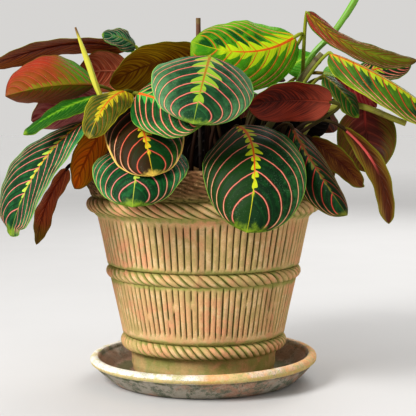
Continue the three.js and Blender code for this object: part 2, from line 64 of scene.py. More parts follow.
# Pot
POT_BOTTOM = 6.3
POT_FLOOR = 9
POT_INSIDE_Z = POT_BOTTOM + POT_FLOOR
DRAIN_R = 7
FOOT_R = 55
WALL = 7
RIM_Z = 166
RIM_R = 92.5
STRANDS = 64
LOW_ROPE = dict(z=31.5, ring=59.4, tube=5.4, lean=-1.9)
MIDDLE_ROPE = dict(z=86, ring=70.8, tube=4.8, lean=-1.9)
RIM_ROPE = dict(z=137.5, ring=84.6, tube=6, lean=-3)
ROW_STEP = 1.9
BODY_LOW = (38, 63.2)
BODY_HIGH = (130.5, 82.6)
NECK = (144.5, 87)
GROOVES = 96
GROOVE_SHAPE = ((0, 1.0), (0.12, 0.3), (0.2, 0.0), (0.5, 0.0), (0.8, 0.0), (0.88, 0.3))
GROOVE_DEPTH = 1.5
GROOVE_GAPS = 0.1  # the share of the grooves that the tool left unfinished
GROOVE_ENDS = ((43.5, 80), (93.5, 127.5))
GROOVE_SLACK = ((-0.8, 1.8), (-2.2, 0.8))  # how far each low and each high end may stray
STRAND_DEPTH = 2.1
COLLAR_RIDGES = 56
COLLAR_PITCH = 3.0
COLLAR_DEPTH = 1.1
POT_UNEVEN = 0.35
ALGAE_REACH = 3.5  # how far the green spreads from a rope

# Soil
SOIL_Z = 150
SOIL_DOME = 5
SOIL_GAP = 0.3
SOIL_COLUMNS = 120
CRUMBS = 900
CRUMB_CORNERS = np.array([(1, 0, 0), (-1, 0, 0), (0, 1, 0), (0, -1, 0), (0, 0, 1), (0, 0, -1)], float)
CRUMB_FACES = ((0, 2, 4), (2, 1, 4), (1, 3, 4), (3, 0, 4), (2, 0, 5), (1, 2, 5), (3, 1, 5), (0, 3, 5))

# Stalks
STALK_DEPTH = 8
STALK_FREE_Z = 158
STALK_ROOT_R = 1.7
STALK_BLADE_R = 1.1
STALK_JOINT = 0.35  # thicker by this at the joint below the blade
STALK_FOOT = 0.5  # and by this at the soil
STALK_STEPS = 22
RIDGE_R = 0.75
RIDGE_END_R = 0.12
RIDGE_PLACES = np.array([0.03, 0.07, 0.12, 0.2, 0.3, 0.45, 0.6, 0.75, 0.88])
RIDGE_VEIN = (0.0, 1.0, 10.0)  # paint data of the ridge: clear of every vein
RIDGE_ACROSS = 0.02

# Blades
VEIN_SWEEP = 0.34  # how far a vein runs towards the tip on its way to the margin
VEIN_BEND = (0.55, 0.27)  # how a vein turns from across the blade to along its margin
VEIN_END = 0.9  # the last veins leave the midrib before this share of its length
STAGGER = 0.1  # the veins of the right half start this share of their spacing earlier
PLEAT = 0.32  # the blade is this far proud between its veins
BLADE_MIDDLE = 0.7
BLADE_EDGE = 0.3
EDGE_WAVE = 1.5  # the slow wave of the edge, up and down
MARGIN_RIPPLE = 0.5  # the fine one on it
MARGIN_UNEVEN = 0.03  # how far the outline strays, as a share of its width
WIDE = 40  # a wider leaf has the finer grid: its rows, and its columns on each half
WIDE_GRID, NARROW_GRID = (49, 15), (37, 10)
TIP_GAP = 0.0008  # the outline stops this short of its two points

# Stage: the photograph's camera, the floor and the light, in metres
CAMERA_AT = (0.0035, -0.850, 0.195)
CAMERA_DOWN = 4.13
CAMERA_LENS = 94.8
CAMERA_SENSOR = 36
FLOOR_REACH = 30.0
SKY = (1.0, 0.985, 0.965, 1)
SKY_STRENGTH = 0.58
LAMPS = (  # name, place, aim, size and power
    ("key", (-0.98, -0.98, 1.1), (0, 0, 0.16), 0.6, 28),
    ("fill", (1.2, -0.9, 0.6), (0, 0, 0.14), 1.0, 0.6),
    ("rim", (0.5, 1.2, 1.1), (0, 0, 0.2), 0.8, 9),
)

LEAF_DEFAULTS = dict(
    top="shade", under="maroon", lead=0, sway=0, fold=(0, 0), curl=(-20, -20), ovate=0.08,
    rise=0.45, reach=0.35, veins=8, bites=(), point=0.03, pleat=1,
)
# Each leaf: its name, the tone of its slot, where its midrib starts and ends, where its upper
# face looks, its width, the bow of its midrib, where its stalk stands, and what isn't as usual
LEAVES = (
    ("front_centre", "dark", (25, -48, 197), (30, -117, 128), (0, -1, 0.5), 74, 19, (14, -34),
     dict(top="front", sway=-8, curl=(-30, -30), ovate=-0.1, point=0.02, veins=7)),
    ("front_low_left", "dark", (-40, -59, 186), (-47, -118, 145), (-0.1, -1, 0.9), 70, 10, (-24, -36),
     dict(top="teal", curl=(-30, -30), veins=7)),
    ("olive_half", "olive", (-49, -57, 212), (-34, -110, 165), (0.15, -1, 0.4), 57, 6, (-34, -30),
     dict(top="olive", curl=(-40, -15), veins=6)),
    ("mint_left", "dark", (-46, -75, 220), (0, -118, 200), (-0.3, -1, 0.6), 49, 5, (-14, -28),
     dict(top="mint")),
    ("centre_top", "dark", (5, -84, 245), (-6, -126, 200), (0.1, -1, 0.8), 72, 6, (2, -50),
     dict(top="silver", rise=0.3, reach=0.1, veins=7)),
    ("bright_top", "bright", (67, -44, 262), (-6, -66, 256), (0.05, -1, 0.5), 56, 3, (26, -26),
     dict(top="lime", sway=-12, fold=(4, -22), ovate=-0.1)),
    ("red_back_centre", "under", (91, -70, 214), (33, -82, 212), (0, 0.8, 0.6), 36, 4, (46, -45),
     dict(top="deep", under="wine", pleat=0.3, veins=7)),
    ("right_fold", "dark", (64, -63, 196), (99, -91, 137), (-0.5, -1, 0.3), 41, 6, (38, -46),
     dict(fold=(0, -66), veins=7)),
    ("brown_split", "under", (80, -31, 188), (119, -34, 153), (0.3, 0.8, 0.5), 21, 3, (56, -28),
     dict(under="umber", pleat=0.4, bites=((1, 0.93, 0.05, 0.7),))),
    ("hang_right", "under", (103, -48, 195), (134, -62, 129), (0.5, 0.6, 0.3), 19, 5, (58, -40),
     dict(under="pinkrib", sway=7, ovate=-0.15, rise=0.8, pleat=0.3)),
    ("round_right", "under", (123, -8, 211), (126, -20, 163), (0.1, 0.9, 0.3), 46, 5, (56, -4),
     dict(under="plum", pleat=0.5, veins=7)),
    # dark_under and the three inner leaves have near-black undersides: painted shade.
    ("dark_under", "under", (48, -15, 197), (95, -17, 203), (0, 1, 0.4), 38, 3, (34, -20),
     dict(under="painted_shade")),
    ("roll_right", "copper", (76, -42, 280), (157, -27, 246), (0.1, -1, 0.7), 19, -3, (74, -22),
     dict(top="russet", sway=10, rise=0.7, reach=0.02)),
    ("green_right", "bright", (92, -50, 250), (172, -62, 200), (-0.2, -0.9, 0.6), 38, 9, (50, -53),
     dict(top="spring", under="plum", fold=(0, -50), reach=0.05)),
    ("long_left", "under", (-60, 5, 257), (-166, -10, 243), (0.1, 0.5, 1), 28, 10, (-18, 6),
     dict(under="rust", lead=0.4, pleat=0.6, veins=10)),
    ("copper_left", "copper", (-80, -40, 227), (-140, -60, 219), (0, -1, 0.5), 58, 6, (-40, -14),
     dict(top="copper", fold=(0, -85), pleat=0.7, veins=9)),
    ("mauve_left", "mauve", (-79, -16, 220), (-128, -24, 202), (0, 0.9, 0.6), 34, 4, (-48, -2),
     dict(under="mauve")),
    ("green_edge_left", "bright", (-76, -44, 219), (-128, -60, 192), (0, -0.6, 1), 20, 4, (-50, -22),
     dict(top="leafgreen", under="mauve", pleat=0.5)),
    ("big_left", "dark", (-88, -36, 200), (-138, -64, 121), (-0.6, -0.8, 0.35), 82, 12, (-56, -14),
     dict(top="teal", fold=(-5, 35), ovate=-0.15, veins=9,
     bites=((1, 0.93, 0.04, 0.5), (-1, 0.86, 0.03, 0.35)))),
    ("narrow_left", "under", (-104, -16, 165), (-127, -20, 109), (-0.9, 0.5, 0.3), 24, 5, (-62, -4),
     dict(under="cinnamon")),
    ("orange_left", "copper", (-68, -42, 204), (-91, -72, 154), (-0.4, 0.9, 0.2), 25, 5, (-44, -34),
     dict(under="orange", pleat=0.7)),
    ("lime_curl", "bright", (-56, -60, 222), (-78, -93, 190), (-0.3, -1, 0.5), 30, 8, (-32, -20),
     dict(top="yellow")),
    ("mauve_back", "mauve", (-59, 18, 240), (-98, 14, 238), (0, 0.9, 0.5), 38, 4, (-34, 10),
     dict(under="brick", pleat=0.5)),
    ("olive_back", "olive", (2, -20, 248), (-68, -30, 230), (0, 0.7, 0.8), 50, 8, (2, -10),
     dict(under="bronze", pleat=0.5)),
    ("curl_back", "dark", (-52, -4, 258), (-76, -14, 266), (0.2, -0.8, 0.5), 19, 4, (-34, -3),
     dict(top="dim", rise=0.6, reach=0.15, veins=6)),
    ("green_gap", "bright", (64, 2, 240), (86, 6, 252), (-0.2, -0.8, 0.5), 26, 3, (28, -8),
     dict(top="fresh")),
    ("blade_right", "bright", (89, -44, 233), (112, -53, 204), (0.3, -0.5, 0.5), 22, 3, (52, -38),
     dict(top="blade", reach=0.1, pleat=0.5, veins=6)),
    ("pale_right", "bright", (92, 2, 238), (122, 4, 226), (0.1, -0.7, 0.6), 30, 3, (40, 12),
     dict(top="pale")),
    ("pink_right", "mauve", (98, -22, 232), (128, -34, 212), (0, 0.8, 0.6), 24, 5, (60, 4),
     dict(under="rose")),
    ("dark_back_right", "dark", (120, 22, 236), (162, 16, 246), (0, -0.8, 0.5), 26, 4, (54, 12),
     dict(top="deep")),
    ("crown_centre", "bright", (18, -6, 230), (58, -4, 240), (0, 0.1, 1), 34, 5, (18, -2),
     dict(top="lime")),
    ("inner_centre", "under", (4, 15, 216), (6, 24, 163), (0, 1, 0.3), 54, 3, (2, 12),
     dict(under="painted_shade")),
    ("inner_left", "under", (-28, 22, 206), (-35, 32, 160), (-0.2, 1, 0.3), 42, 3, (-26, 18),
     dict(under="painted_shade")),
    ("inner_right", "under", (39, 20, 206), (46, 29, 160), (0.1, 1, 0.3), 38, 3, (30, 16),
     dict(under="painted_shade")),
    ("crown_right", "dark", (14, 10, 244), (62, 42, 234), (0.2, 0.1, 1), 48, 7, (12, 4),
     dict(top="deep")),
    ("crown_left", "dark", (-10, 18, 244), (-50, 56, 230), (-0.2, 0.3, 1), 46, 7, (-10, 4),
     dict(top="silver")),
    ("upper_back_right", "dark", (52, 42, 224), (108, 76, 194), (0.3, 0.4, 1), 62, 10, (37, 38),
     dict(top="silver", curl=(-30, -30))),
    ("upper_back_centre", "bright", (16, 50, 232), (24, 122, 200), (0.1, 0.5, 1), 66, 11, (8, 36),
     dict(top="lime", curl=(-30, -30))),
    ("upper_back_left", "dark", (-30, 54, 222), (-64, 112, 188), (-0.2, 0.5, 1), 60, 10, (-20, 42),
     dict(top="deep", curl=(-30, -30))),
    ("side_back_left", "dark", (-64, 30, 214), (-108, 66, 184), (-0.4, 0.4, 1), 50, 8, (-62, 28),
     dict(top="mint")),
    ("low_back_right", "dark", (70, 42, 190), (92, 84, 136), (0.5, 0.8, 0.6), 60, 12, (52, 36),
     dict(top="deep", curl=(-30, -30))),
    ("low_back_centre", "dark", (26, 68, 194), (34, 122, 134), (0.1, 1, 0.6), 66, 14, (22, 44),
     dict(top="mint", curl=(-30, -30))),
    ("low_back_left", "olive", (-22, 68, 188), (-34, 120, 130), (-0.1, 1, 0.6), 62, 13, (-14, 50),
     dict(top="olive", curl=(-30, -30))),
    ("low_side_left", "dark", (-62, 44, 188), (-88, 80, 140), (-0.6, 0.8, 0.6), 52, 11, (-42, 42),
     dict(top="deep", curl=(-30, -30))),
    ("low_side_right", "dark", (68, 26, 188), (101, 38, 140), (1, 0.35, 0.6), 46, 10, (66, 24),
     dict(top="silver", curl=(-30, -30))),
)


def unit(v):
    return v / np.linalg.norm(v, axis=-1, keepdims=True)


def smooth(value, low, high):
    """0 below low and 1 above high, with soft ends."""
    share = np.clip((np.asarray(value, float) - low) / (high - low), 0, 1)
    return share * share * (3 - 2 * share)


def wobble(x, y=0.0, z=0.0):
    """Smooth noise from about -1 to 1 at a point."""
    return noise.noise(Vector((x, y, z)))


def ring_noise(angle, reach, z):
    """Smooth noise at points round a ring."""
    return np.array([wobble(math.cos(q) * reach, math.sin(q) * reach, z) for q in angle])


def ring_points(radius, angle, z):
    """Points round a ring, whose radius and height may vary."""
    x, y, z = np.broadcast_arrays(radius * np.cos(angle), radius * np.sin(angle), z)
    return np.stack([x, y, z], -1)


class Shape:
    """A mesh that is put together from grids of points, with two vectors of paint data a vertex."""

    def __init__(self):
        self.points, self.vein, self.place, self.faces, self.paints = [], [], [], [], []
        self.count = 0

    def vertices(self, points, vein=0.0, place=0.0):
        """Adds points and returns their numbers in the same arrangement."""
        for rows, values in ((self.points, points), (self.vein, vein), (self.place, place)):
            rows.append(np.broadcast_to(values, points.shape).reshape(-1, 3))
        first = self.count
        self.count += len(self.points[-1])
        return np.arange(first, self.count).reshape(points.shape[:-1])

    def quads(self, numbers, paint=0, wrap=False, closed=False, flip=False):
        """Faces over a grid of vertex numbers. wrap joins the last column to the first, and
        closed the last row to the first."""
        if wrap:
            numbers = np.concatenate([numbers, numbers[:, :1]], 1)
        if closed:
            numbers = np.concatenate([numbers, numbers[:1]], 0)
        a, b, c, d = numbers[:-1, :-1], numbers[1:, :-1], numbers[1:, 1:], numbers[:-1, 1:]
        made = np.stack((a, b, c, d) if flip else (a, d, c, b), -1).reshape(-1, 4)
        self.faces.extend(map(tuple, made.tolist()))
        self.paints.extend([paint] * len(made))

    def cap(self, ring, paint=0, flip=False):
        """One face over a ring of vertex numbers."""
        self.faces.append(tuple(ring.tolist()[:: -1 if flip else 1]))
        self.paints.append(paint)

    def fan(self, ring, centre, vein=0.0, flip=False):
        """Triangles from a ring of vertex numbers to one point at its centre."""
        middle = self.vertices(np.array([centre], float), vein)[0]
        for a, b in zip(ring, np.roll(ring, -1)):
            self.cap(np.array([b, a, middle] if flip else [a, b, middle]))

    def build(self, name, materials, slot, sharp=50):
        """Makes the fine piece that stands for the solid of that name."""
        mesh = bpy.data.meshes.new(f"{name}_fine")
        mesh.from_pydata((np.concatenate(self.points) * MM).tolist(), [], self.faces)
        for key, rows in (("vein", self.vein), ("place", self.place)):
            data = mesh.attributes.new(key, "FLOAT_VECTOR", "POINT").data
            data.foreach_set("vector", np.concatenate(rows).astype(np.float32).ravel())
        for material in materials:
            mesh.materials.append(material)
        mesh.polygons.foreach_set("material_index", self.paints)
        mesh.polygons.foreach_set("use_smooth", [True] * len(self.faces))
        mesh.update()
        mesh.set_sharp_from_angle(angle=math.radians(sharp))
        piece = add_object(f"{name}_fine", mesh)
        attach(piece, "root")
        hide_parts(name)


def add_object(name, data):
    """A new object in the scene."""
    made = bpy.data.objects.new(name, data)
    bpy.context.scene.collection.objects.link(made)
    return made


def tube(shape, path, radii, paint, sides, tint=0.0, swell=None, ridge=()):
    """A round stem along a path. vein is (share of the length, mm along, radius). Its last rings
    take paint 1, as the ridge on the underside of a blade, at the shares of the blade in ridge."""
    path, radii = np.asarray(path, float), np.asarray(radii, float)
    along = np.concatenate([[0], np.cumsum(np.linalg.norm(np.diff(path, axis=0), axis=1))])
    tangent = unit(np.gradient(path, axis=0))
    across = np.array([1.0, 0, 0])
    angle = np.arange(sides) / sides * 2 * math.pi
    rings, vein, place = [], [], []
    for k, point in enumerate(path):
        across = unit(across - (across @ tangent[k]) * tangent[k])
        other = np.cross(tangent[k], across)
        reach = radii[k] if swell is None else radii[k] * swell(along[k], angle)
        reach = np.broadcast_to(reach, angle.shape)[:, None]
        rings.append(point + reach * (np.cos(angle)[:, None] * across + np.sin(angle)[:, None] * other))
        share = along[k] / along[-1]
        vein.append([(share, along[k], radii[k])] * sides)
        place.append([(share, q / math.tau, tint) for q in angle])
    turn = len(path) - len(ridge)
    vein, place = np.array(vein), np.array(place)
    vein[turn:] = RIDGE_VEIN
    for ring, share in zip(place[turn:], ridge):
        ring[:] = (share, RIDGE_ACROSS, 0)
    numbers = shape.vertices(np.array(rings), vein, place)
    shape.quads(numbers[: turn + 1], paint, wrap=True)
    if len(ridge):
        shape.quads(numbers[turn:], 1, wrap=True)
    shape.cap(numbers[0], paint, flip=True)
    return numbers


def bezier(points, steps):
    """Points along one cubic curve."""
    t = np.linspace(0, 1, steps)[:, None]
    a, b, c, d = (np.asarray(p, float) for p in points)
    return a * (1 - t) ** 3 + 3 * b * t * (1 - t) ** 2 + 3 * c * t * t * (1 - t) + d * t**3


class Blade:
    """The swept surface of one leaf. s runs along the midrib, and t across from -1 to 1."""

    def __init__(self, leaf):
        self.leaf = leaf
        self.base, tip = (np.array(end, float) for end in (leaf.base, leaf.tip))
        self.chord = tip - self.base
        self.length = float(np.linalg.norm(self.chord))
        along = self.chord / self.length
        face = unit(np.array(leaf.face, float))
        self.up = unit(face - (face @ along) * along)
        self.side = np.cross(along, self.up)

    def midrib(self, s):
        """Points of the bowed and swaying midrib."""
        s = np.atleast_1d(np.asarray(s, float))[:, None]
        bow = 4 * s * (1 - s)
        lift = self.leaf.arch * bow * (1 + self.leaf.lead * (1 - 2 * s))
        return self.base + self.chord * s + self.up * lift + self.side * (self.leaf.sway * bow)

    def tangent(self, s):
        s = np.asarray(s, float)
        return unit(self.midrib(s + 0.01) - self.midrib(s - 0.01))

    def half_width(self, u, hand):
        """The width of one half of the blade, with its notches."""
        leaf = self.leaf
        outline = np.sin(math.pi * u) ** 0.74 * (1 + leaf.ovate * np.cos(math.pi * u))
        x, y = hand * 2.7 + self.base[0], self.base[1] * 0.7
        uneven = np.array([wobble(q * 5.5, x, y) for q in u])
        outline = outline * (1 + MARGIN_UNEVEN * uneven * np.sin(math.pi * u))
        for side, place, spread, depth in leaf.bites:
            if side == hand:
                outline = outline * (1 - depth * np.exp(-(((u - place) / spread) ** 2)))
        return leaf.width / 2 * outline

    def surface(self, u, t):
        """Middle points, facing directions, and the paint data of a grid over the blade."""
        leaf, veins = self.leaf, self.leaf.veins
        s = (1 - np.cos(math.pi * u)) / 2 + leaf.point * u**18
        tangent = self.tangent(s)
        normal = unit(self.up - (tangent @ self.up)[:, None] * tangent)
        across = np.cross(tangent, normal)
        hand = np.where(t > 0, 1, -1)
        half = np.stack([self.half_width(u, h) for h in hand], 1)
        fold, curl = (np.radians(np.where(t > 0, *pair)) for pair in (leaf.fold, leaf.curl))
        a = np.abs(t)
        turn = fold + curl * a
        x = (np.sin(turn) - np.sin(fold)) / curl
        z = (np.cos(fold) - np.cos(turn)) / curl
        middle = np.sin(math.pi * u)[:, None]
        wave = EDGE_WAVE * np.sin(4 * math.pi * u[:, None] + np.where(t > 0, 2, 0)) * a * a * middle
        wave = wave + MARGIN_RIPPLE * np.sin(veins * 5 * u[:, None] + 3 * hand) * a**4 * middle
        narrow = 1 - VEIN_BEND[0] * a - VEIN_BEND[1] * a * a
        phi = s[:, None] + VEIN_SWEEP * np.log(narrow)[None, :]
        phi = np.minimum(phi, math.floor(VEIN_END * veins) / veins)
        stagger = np.where(t < 0, STAGGER, 0)
        pleat = -np.cos(2 * math.pi * (veins * phi + stagger - 0.5))
        pleat = pleat * np.sin(math.pi * np.clip(a * 1.05, 0, 1))
        proud = PLEAT * leaf.pleat * smooth(phi, -0.15, 0.02) * middle
        points = self.midrib(s)[:, None] + across[:, None] * (half * x * hand)[..., None]
        points = points + normal[:, None] * (half * z + wave + proud * pleat)[..., None]
        facing = normal[:, None] * np.cos(turn)[None, :, None]
        facing = facing - across[:, None] * (hand * np.sin(turn))[None, :, None]
        left, right = (math.radians(angle) for angle in leaf.fold)
        upward, sideways = math.cos(left) + math.cos(right), math.sin(left) - math.sin(right)
        facing[:, t == 0] = unit(normal * upward - across * sideways)[:, None]
        slope = VEIN_SWEEP * (VEIN_BEND[0] + 2 * VEIN_BEND[1] * a) / narrow
        safe = np.maximum(half, 0.4)
        growth = np.gradient(half, s * self.length, axis=0)
        along = 1 / self.length + slope * a * growth / safe
        density = veins * np.hypot(along, slope / safe)
        vein = np.stack([veins * phi, density, half], -1)
        place = np.zeros(vein.shape)
        place[..., 0], place[..., 1] = s[:, None], t[None, :]
        return points, facing, vein, place


def add_blade(shape, blade, rows, ribs):
    """The closed blade, thick at the midrib and thin at the margin, with its upper face, its
    underside and its rim."""
    u = np.linspace(TIP_GAP, 1 - TIP_GAP, rows)
    t = np.linspace(-1, 1, 2 * ribs + 1)
    t[ribs] = 0
    points, facing, vein, place = blade.surface(u, t)
    thick = BLADE_EDGE + (BLADE_MIDDLE - BLADE_EDGE) * (1 - t**4)
    thick = thick[None, :] * (0.45 + 0.55 * np.sin(math.pi * u)[:, None] ** 0.3)
    offset = facing * (thick / 2)[..., None]
    upper = shape.vertices(points + offset, vein, place)
    lower = shape.vertices(points - offset, vein, place)
    shape.quads(upper, 0)
    shape.quads(lower, 1, flip=True)
    rim = [np.concatenate([g[0, :-1], g[:-1, -1], g[-1, :0:-1], g[:0:-1, 0]]) for g in (upper, lower)]
    shape.quads(np.stack(rim), 0, wrap=True)


def add_stalk(shape, blade, tint):
    """The stalk stands upright in the soil, bends over to the blade with a swollen joint at its
    end, and runs on as the ridge under the midrib."""
    leaf = blade.leaf
    x, y = leaf.root
    start = np.array([x, y, STALK_FREE_Z], float)
    end = blade.midrib(0)[0]
    span = np.linalg.norm(end - start)
    raised = start + np.array([0, 0, leaf.rise * span])
    reached = end - blade.tangent(np.array([0.0]))[0] * leaf.reach * span
    curve = bezier((start, raised, reached, end), STALK_STEPS)
    foot = np.array([[x, y, SOIL_Z - STALK_DEPTH], [x, y, SOIL_Z]])
    s = RIDGE_PLACES
    ridge_r = RIDGE_R * (1 - s) ** 0.7 + RIDGE_END_R
    points, facing = blade.surface(np.arccos(1 - 2 * s) / math.pi, np.array([0.0]))[:2]
    ridge = points[:, 0] - facing[:, 0] * (ridge_r * 0.75)[:, None]
    share = np.linspace(0, 1, len(curve))
    radii = STALK_ROOT_R + (STALK_BLADE_R - STALK_ROOT_R) * share
    radii = radii + STALK_JOINT * np.exp(-(((share - 0.97) / 0.05) ** 2))
    radii = radii + STALK_FOOT * np.exp(-((share / 0.14) ** 2))
    radii = np.concatenate([[STALK_ROOT_R, STALK_ROOT_R + 0.4], radii, ridge_r])
    path = np.concatenate([foot, curve, ridge])
    numbers = tube(shape, path, radii, 2, 10, tint, ridge=s)
    shape.cap(numbers[-1], 1)


def make_leaf(name, tone, base, tip, face, width, arch, root, more):
    """One leaf from its row of the table."""
    main = dict(base=base, tip=tip, face=face, width=width, arch=arch, root=root)
    leaf = SimpleNamespace(**{**LEAF_DEFAULTS, **main, **more})
    shape, blade = Shape(), Blade(leaf)
    add_blade(shape, blade, *(WIDE_GRID if width > WIDE else NARROW_GRID))
    add_stalk(shape, blade, 0.5 + 0.5 * wobble(base[0] * 0.37, base[1] * 0.41, 3.3))
    shape.build(f"leaf_{name}", [TOPS[leaf.top], UNDERS[leaf.under], STALK], f"leaf_{tone}")


def colour(*screen):
    """A screen colour, 0 to 255, as the linear colour that a shader takes."""
    linear = [c / 255 / 12.92 if c <= 10 else ((c / 255 + 0.055) / 1.055) ** 2.4 for c in screen]
    return (*linear, 1)


class Field:
    """A value that varies over a surface. Arithmetic on it makes shader nodes."""

    def __init__(self, paint, socket):
        self.paint, self.socket = paint, socket

    def math(self, operation, *others):
        return self.paint.node("ShaderNodeMath", enumerate((self, *others)), operation=operation)

    def __rsub__(self, other):
        return (self * -1) + other

    __add__ = __radd__ = partialmethod(math, "ADD")
    __sub__ = partialmethod(math, "SUBTRACT")
    __mul__ = __rmul__ = partialmethod(math, "MULTIPLY")
    __abs__ = partialmethod(math, "ABSOLUTE")
    fraction = partialmethod(math, "FRACT")
    smallest = partialmethod(math, "MINIMUM")

    def ramp(self, low, high):
        """0 at low and 1 at high with soft ends. low may be above high."""
        values = enumerate((self, low, high))
        return self.paint.node("ShaderNodeMapRange", values, interpolation_type="SMOOTHSTEP")

    def parts(self):
        """The x, y and z of a vector."""
        made = self.paint.node("ShaderNodeSeparateXYZ", {0: self})
        return [Field(self.paint, socket) for socket in made.socket.node.outputs]


class Paint:
    """One procedural material in the making. ground is its colour so far."""

    def __init__(self, name):
        self.material = bpy.data.materials.new(name)
        self.material.use_nodes = True
        self.tree = self.material.node_tree
        self.shader = self.tree.nodes["Principled BSDF"]
        self.ground = None

    def plug(self, socket, value):
        """Gives a socket a field or a fixed value."""
        if isinstance(value, Field):
            self.tree.links.new(value.socket, socket)
        else:
            socket.default_value = value

    def node(self, kind, values=(), output=0, **settings):
        """Adds a node with its settings and inputs, and returns one output as a field."""
        made = self.tree.nodes.new(kind)
        for key, value in settings.items():
            setattr(made, key, value)
        for key, value in dict(values).items():
            self.plug(made.inputs[key], value)
        return Field(self, made.outputs[output])

    def data(self, name):
        """The three parts of a vertex attribute."""
        return self.node("ShaderNodeAttribute", output="Vector", attribute_name=name).parts()

    def vector(self, *parts):
        return self.node("ShaderNodeCombineXYZ", enumerate(parts))

    def position(self, *stretch):
        """Where the point is, in metres, stretched along each axis."""
        place = self.node("ShaderNodeTexCoord", output="Object")
        values = {0: place, 1: stretch or (1, 1, 1)}
        return self.node("ShaderNodeVectorMath", values, operation="MULTIPLY")

    def noise(self, scale, detail=2.0, rough=0.5, at=None):
        """Cloudy noise from 0 to 1 with its middle at 0.5."""
        values = dict(Scale=scale, Detail=detail, Roughness=rough, Vector=at or self.position())
        return self.node("ShaderNodeTexNoise", values, "Fac")

    def cells(self, scale):
        """Distance to the nearest of scattered points."""
        values = dict(Scale=scale, Vector=self.position())
        return self.node("ShaderNodeTexVoronoi", values, "Distance")

    def mix(self, first, second, share):
        """Two colours mixed. A tuple is a screen colour."""
        first, second = (colour(*c) if isinstance(c, tuple) else c for c in (first, second))
        return self.node("ShaderNodeMix", {0: share, 6: first, 7: second}, 2, data_type="RGBA")

    def lit(self, tint, factor):
        """A colour made lighter or darker by a factor."""
        return self.node("ShaderNodeVectorMath", {0: tint, "Scale": factor}, operation="SCALE")

    def over(self, tint, share):
        """Lays a colour over the ground."""
        self.ground = self.mix(self.ground, tint, share)

    def shade(self, factor):
        """Makes the ground lighter or darker."""
        self.ground = self.lit(self.ground, factor)

    def finish(self, roughness, height=None, depth=0.0003, specular=0.5):
        """Joins the colour, the roughness and the relief, depth metres deep, to the shader."""
        inputs = self.shader.inputs
        self.plug(inputs["Base Color"], self.ground)
        self.plug(inputs["Roughness"], roughness)
        if height is not None:
            bump = self.node("ShaderNodeBump", dict(Distance=depth, Height=height))
            self.plug(inputs["Normal"], bump)
        inputs["Specular IOR Level"].default_value = specular
        return self.material


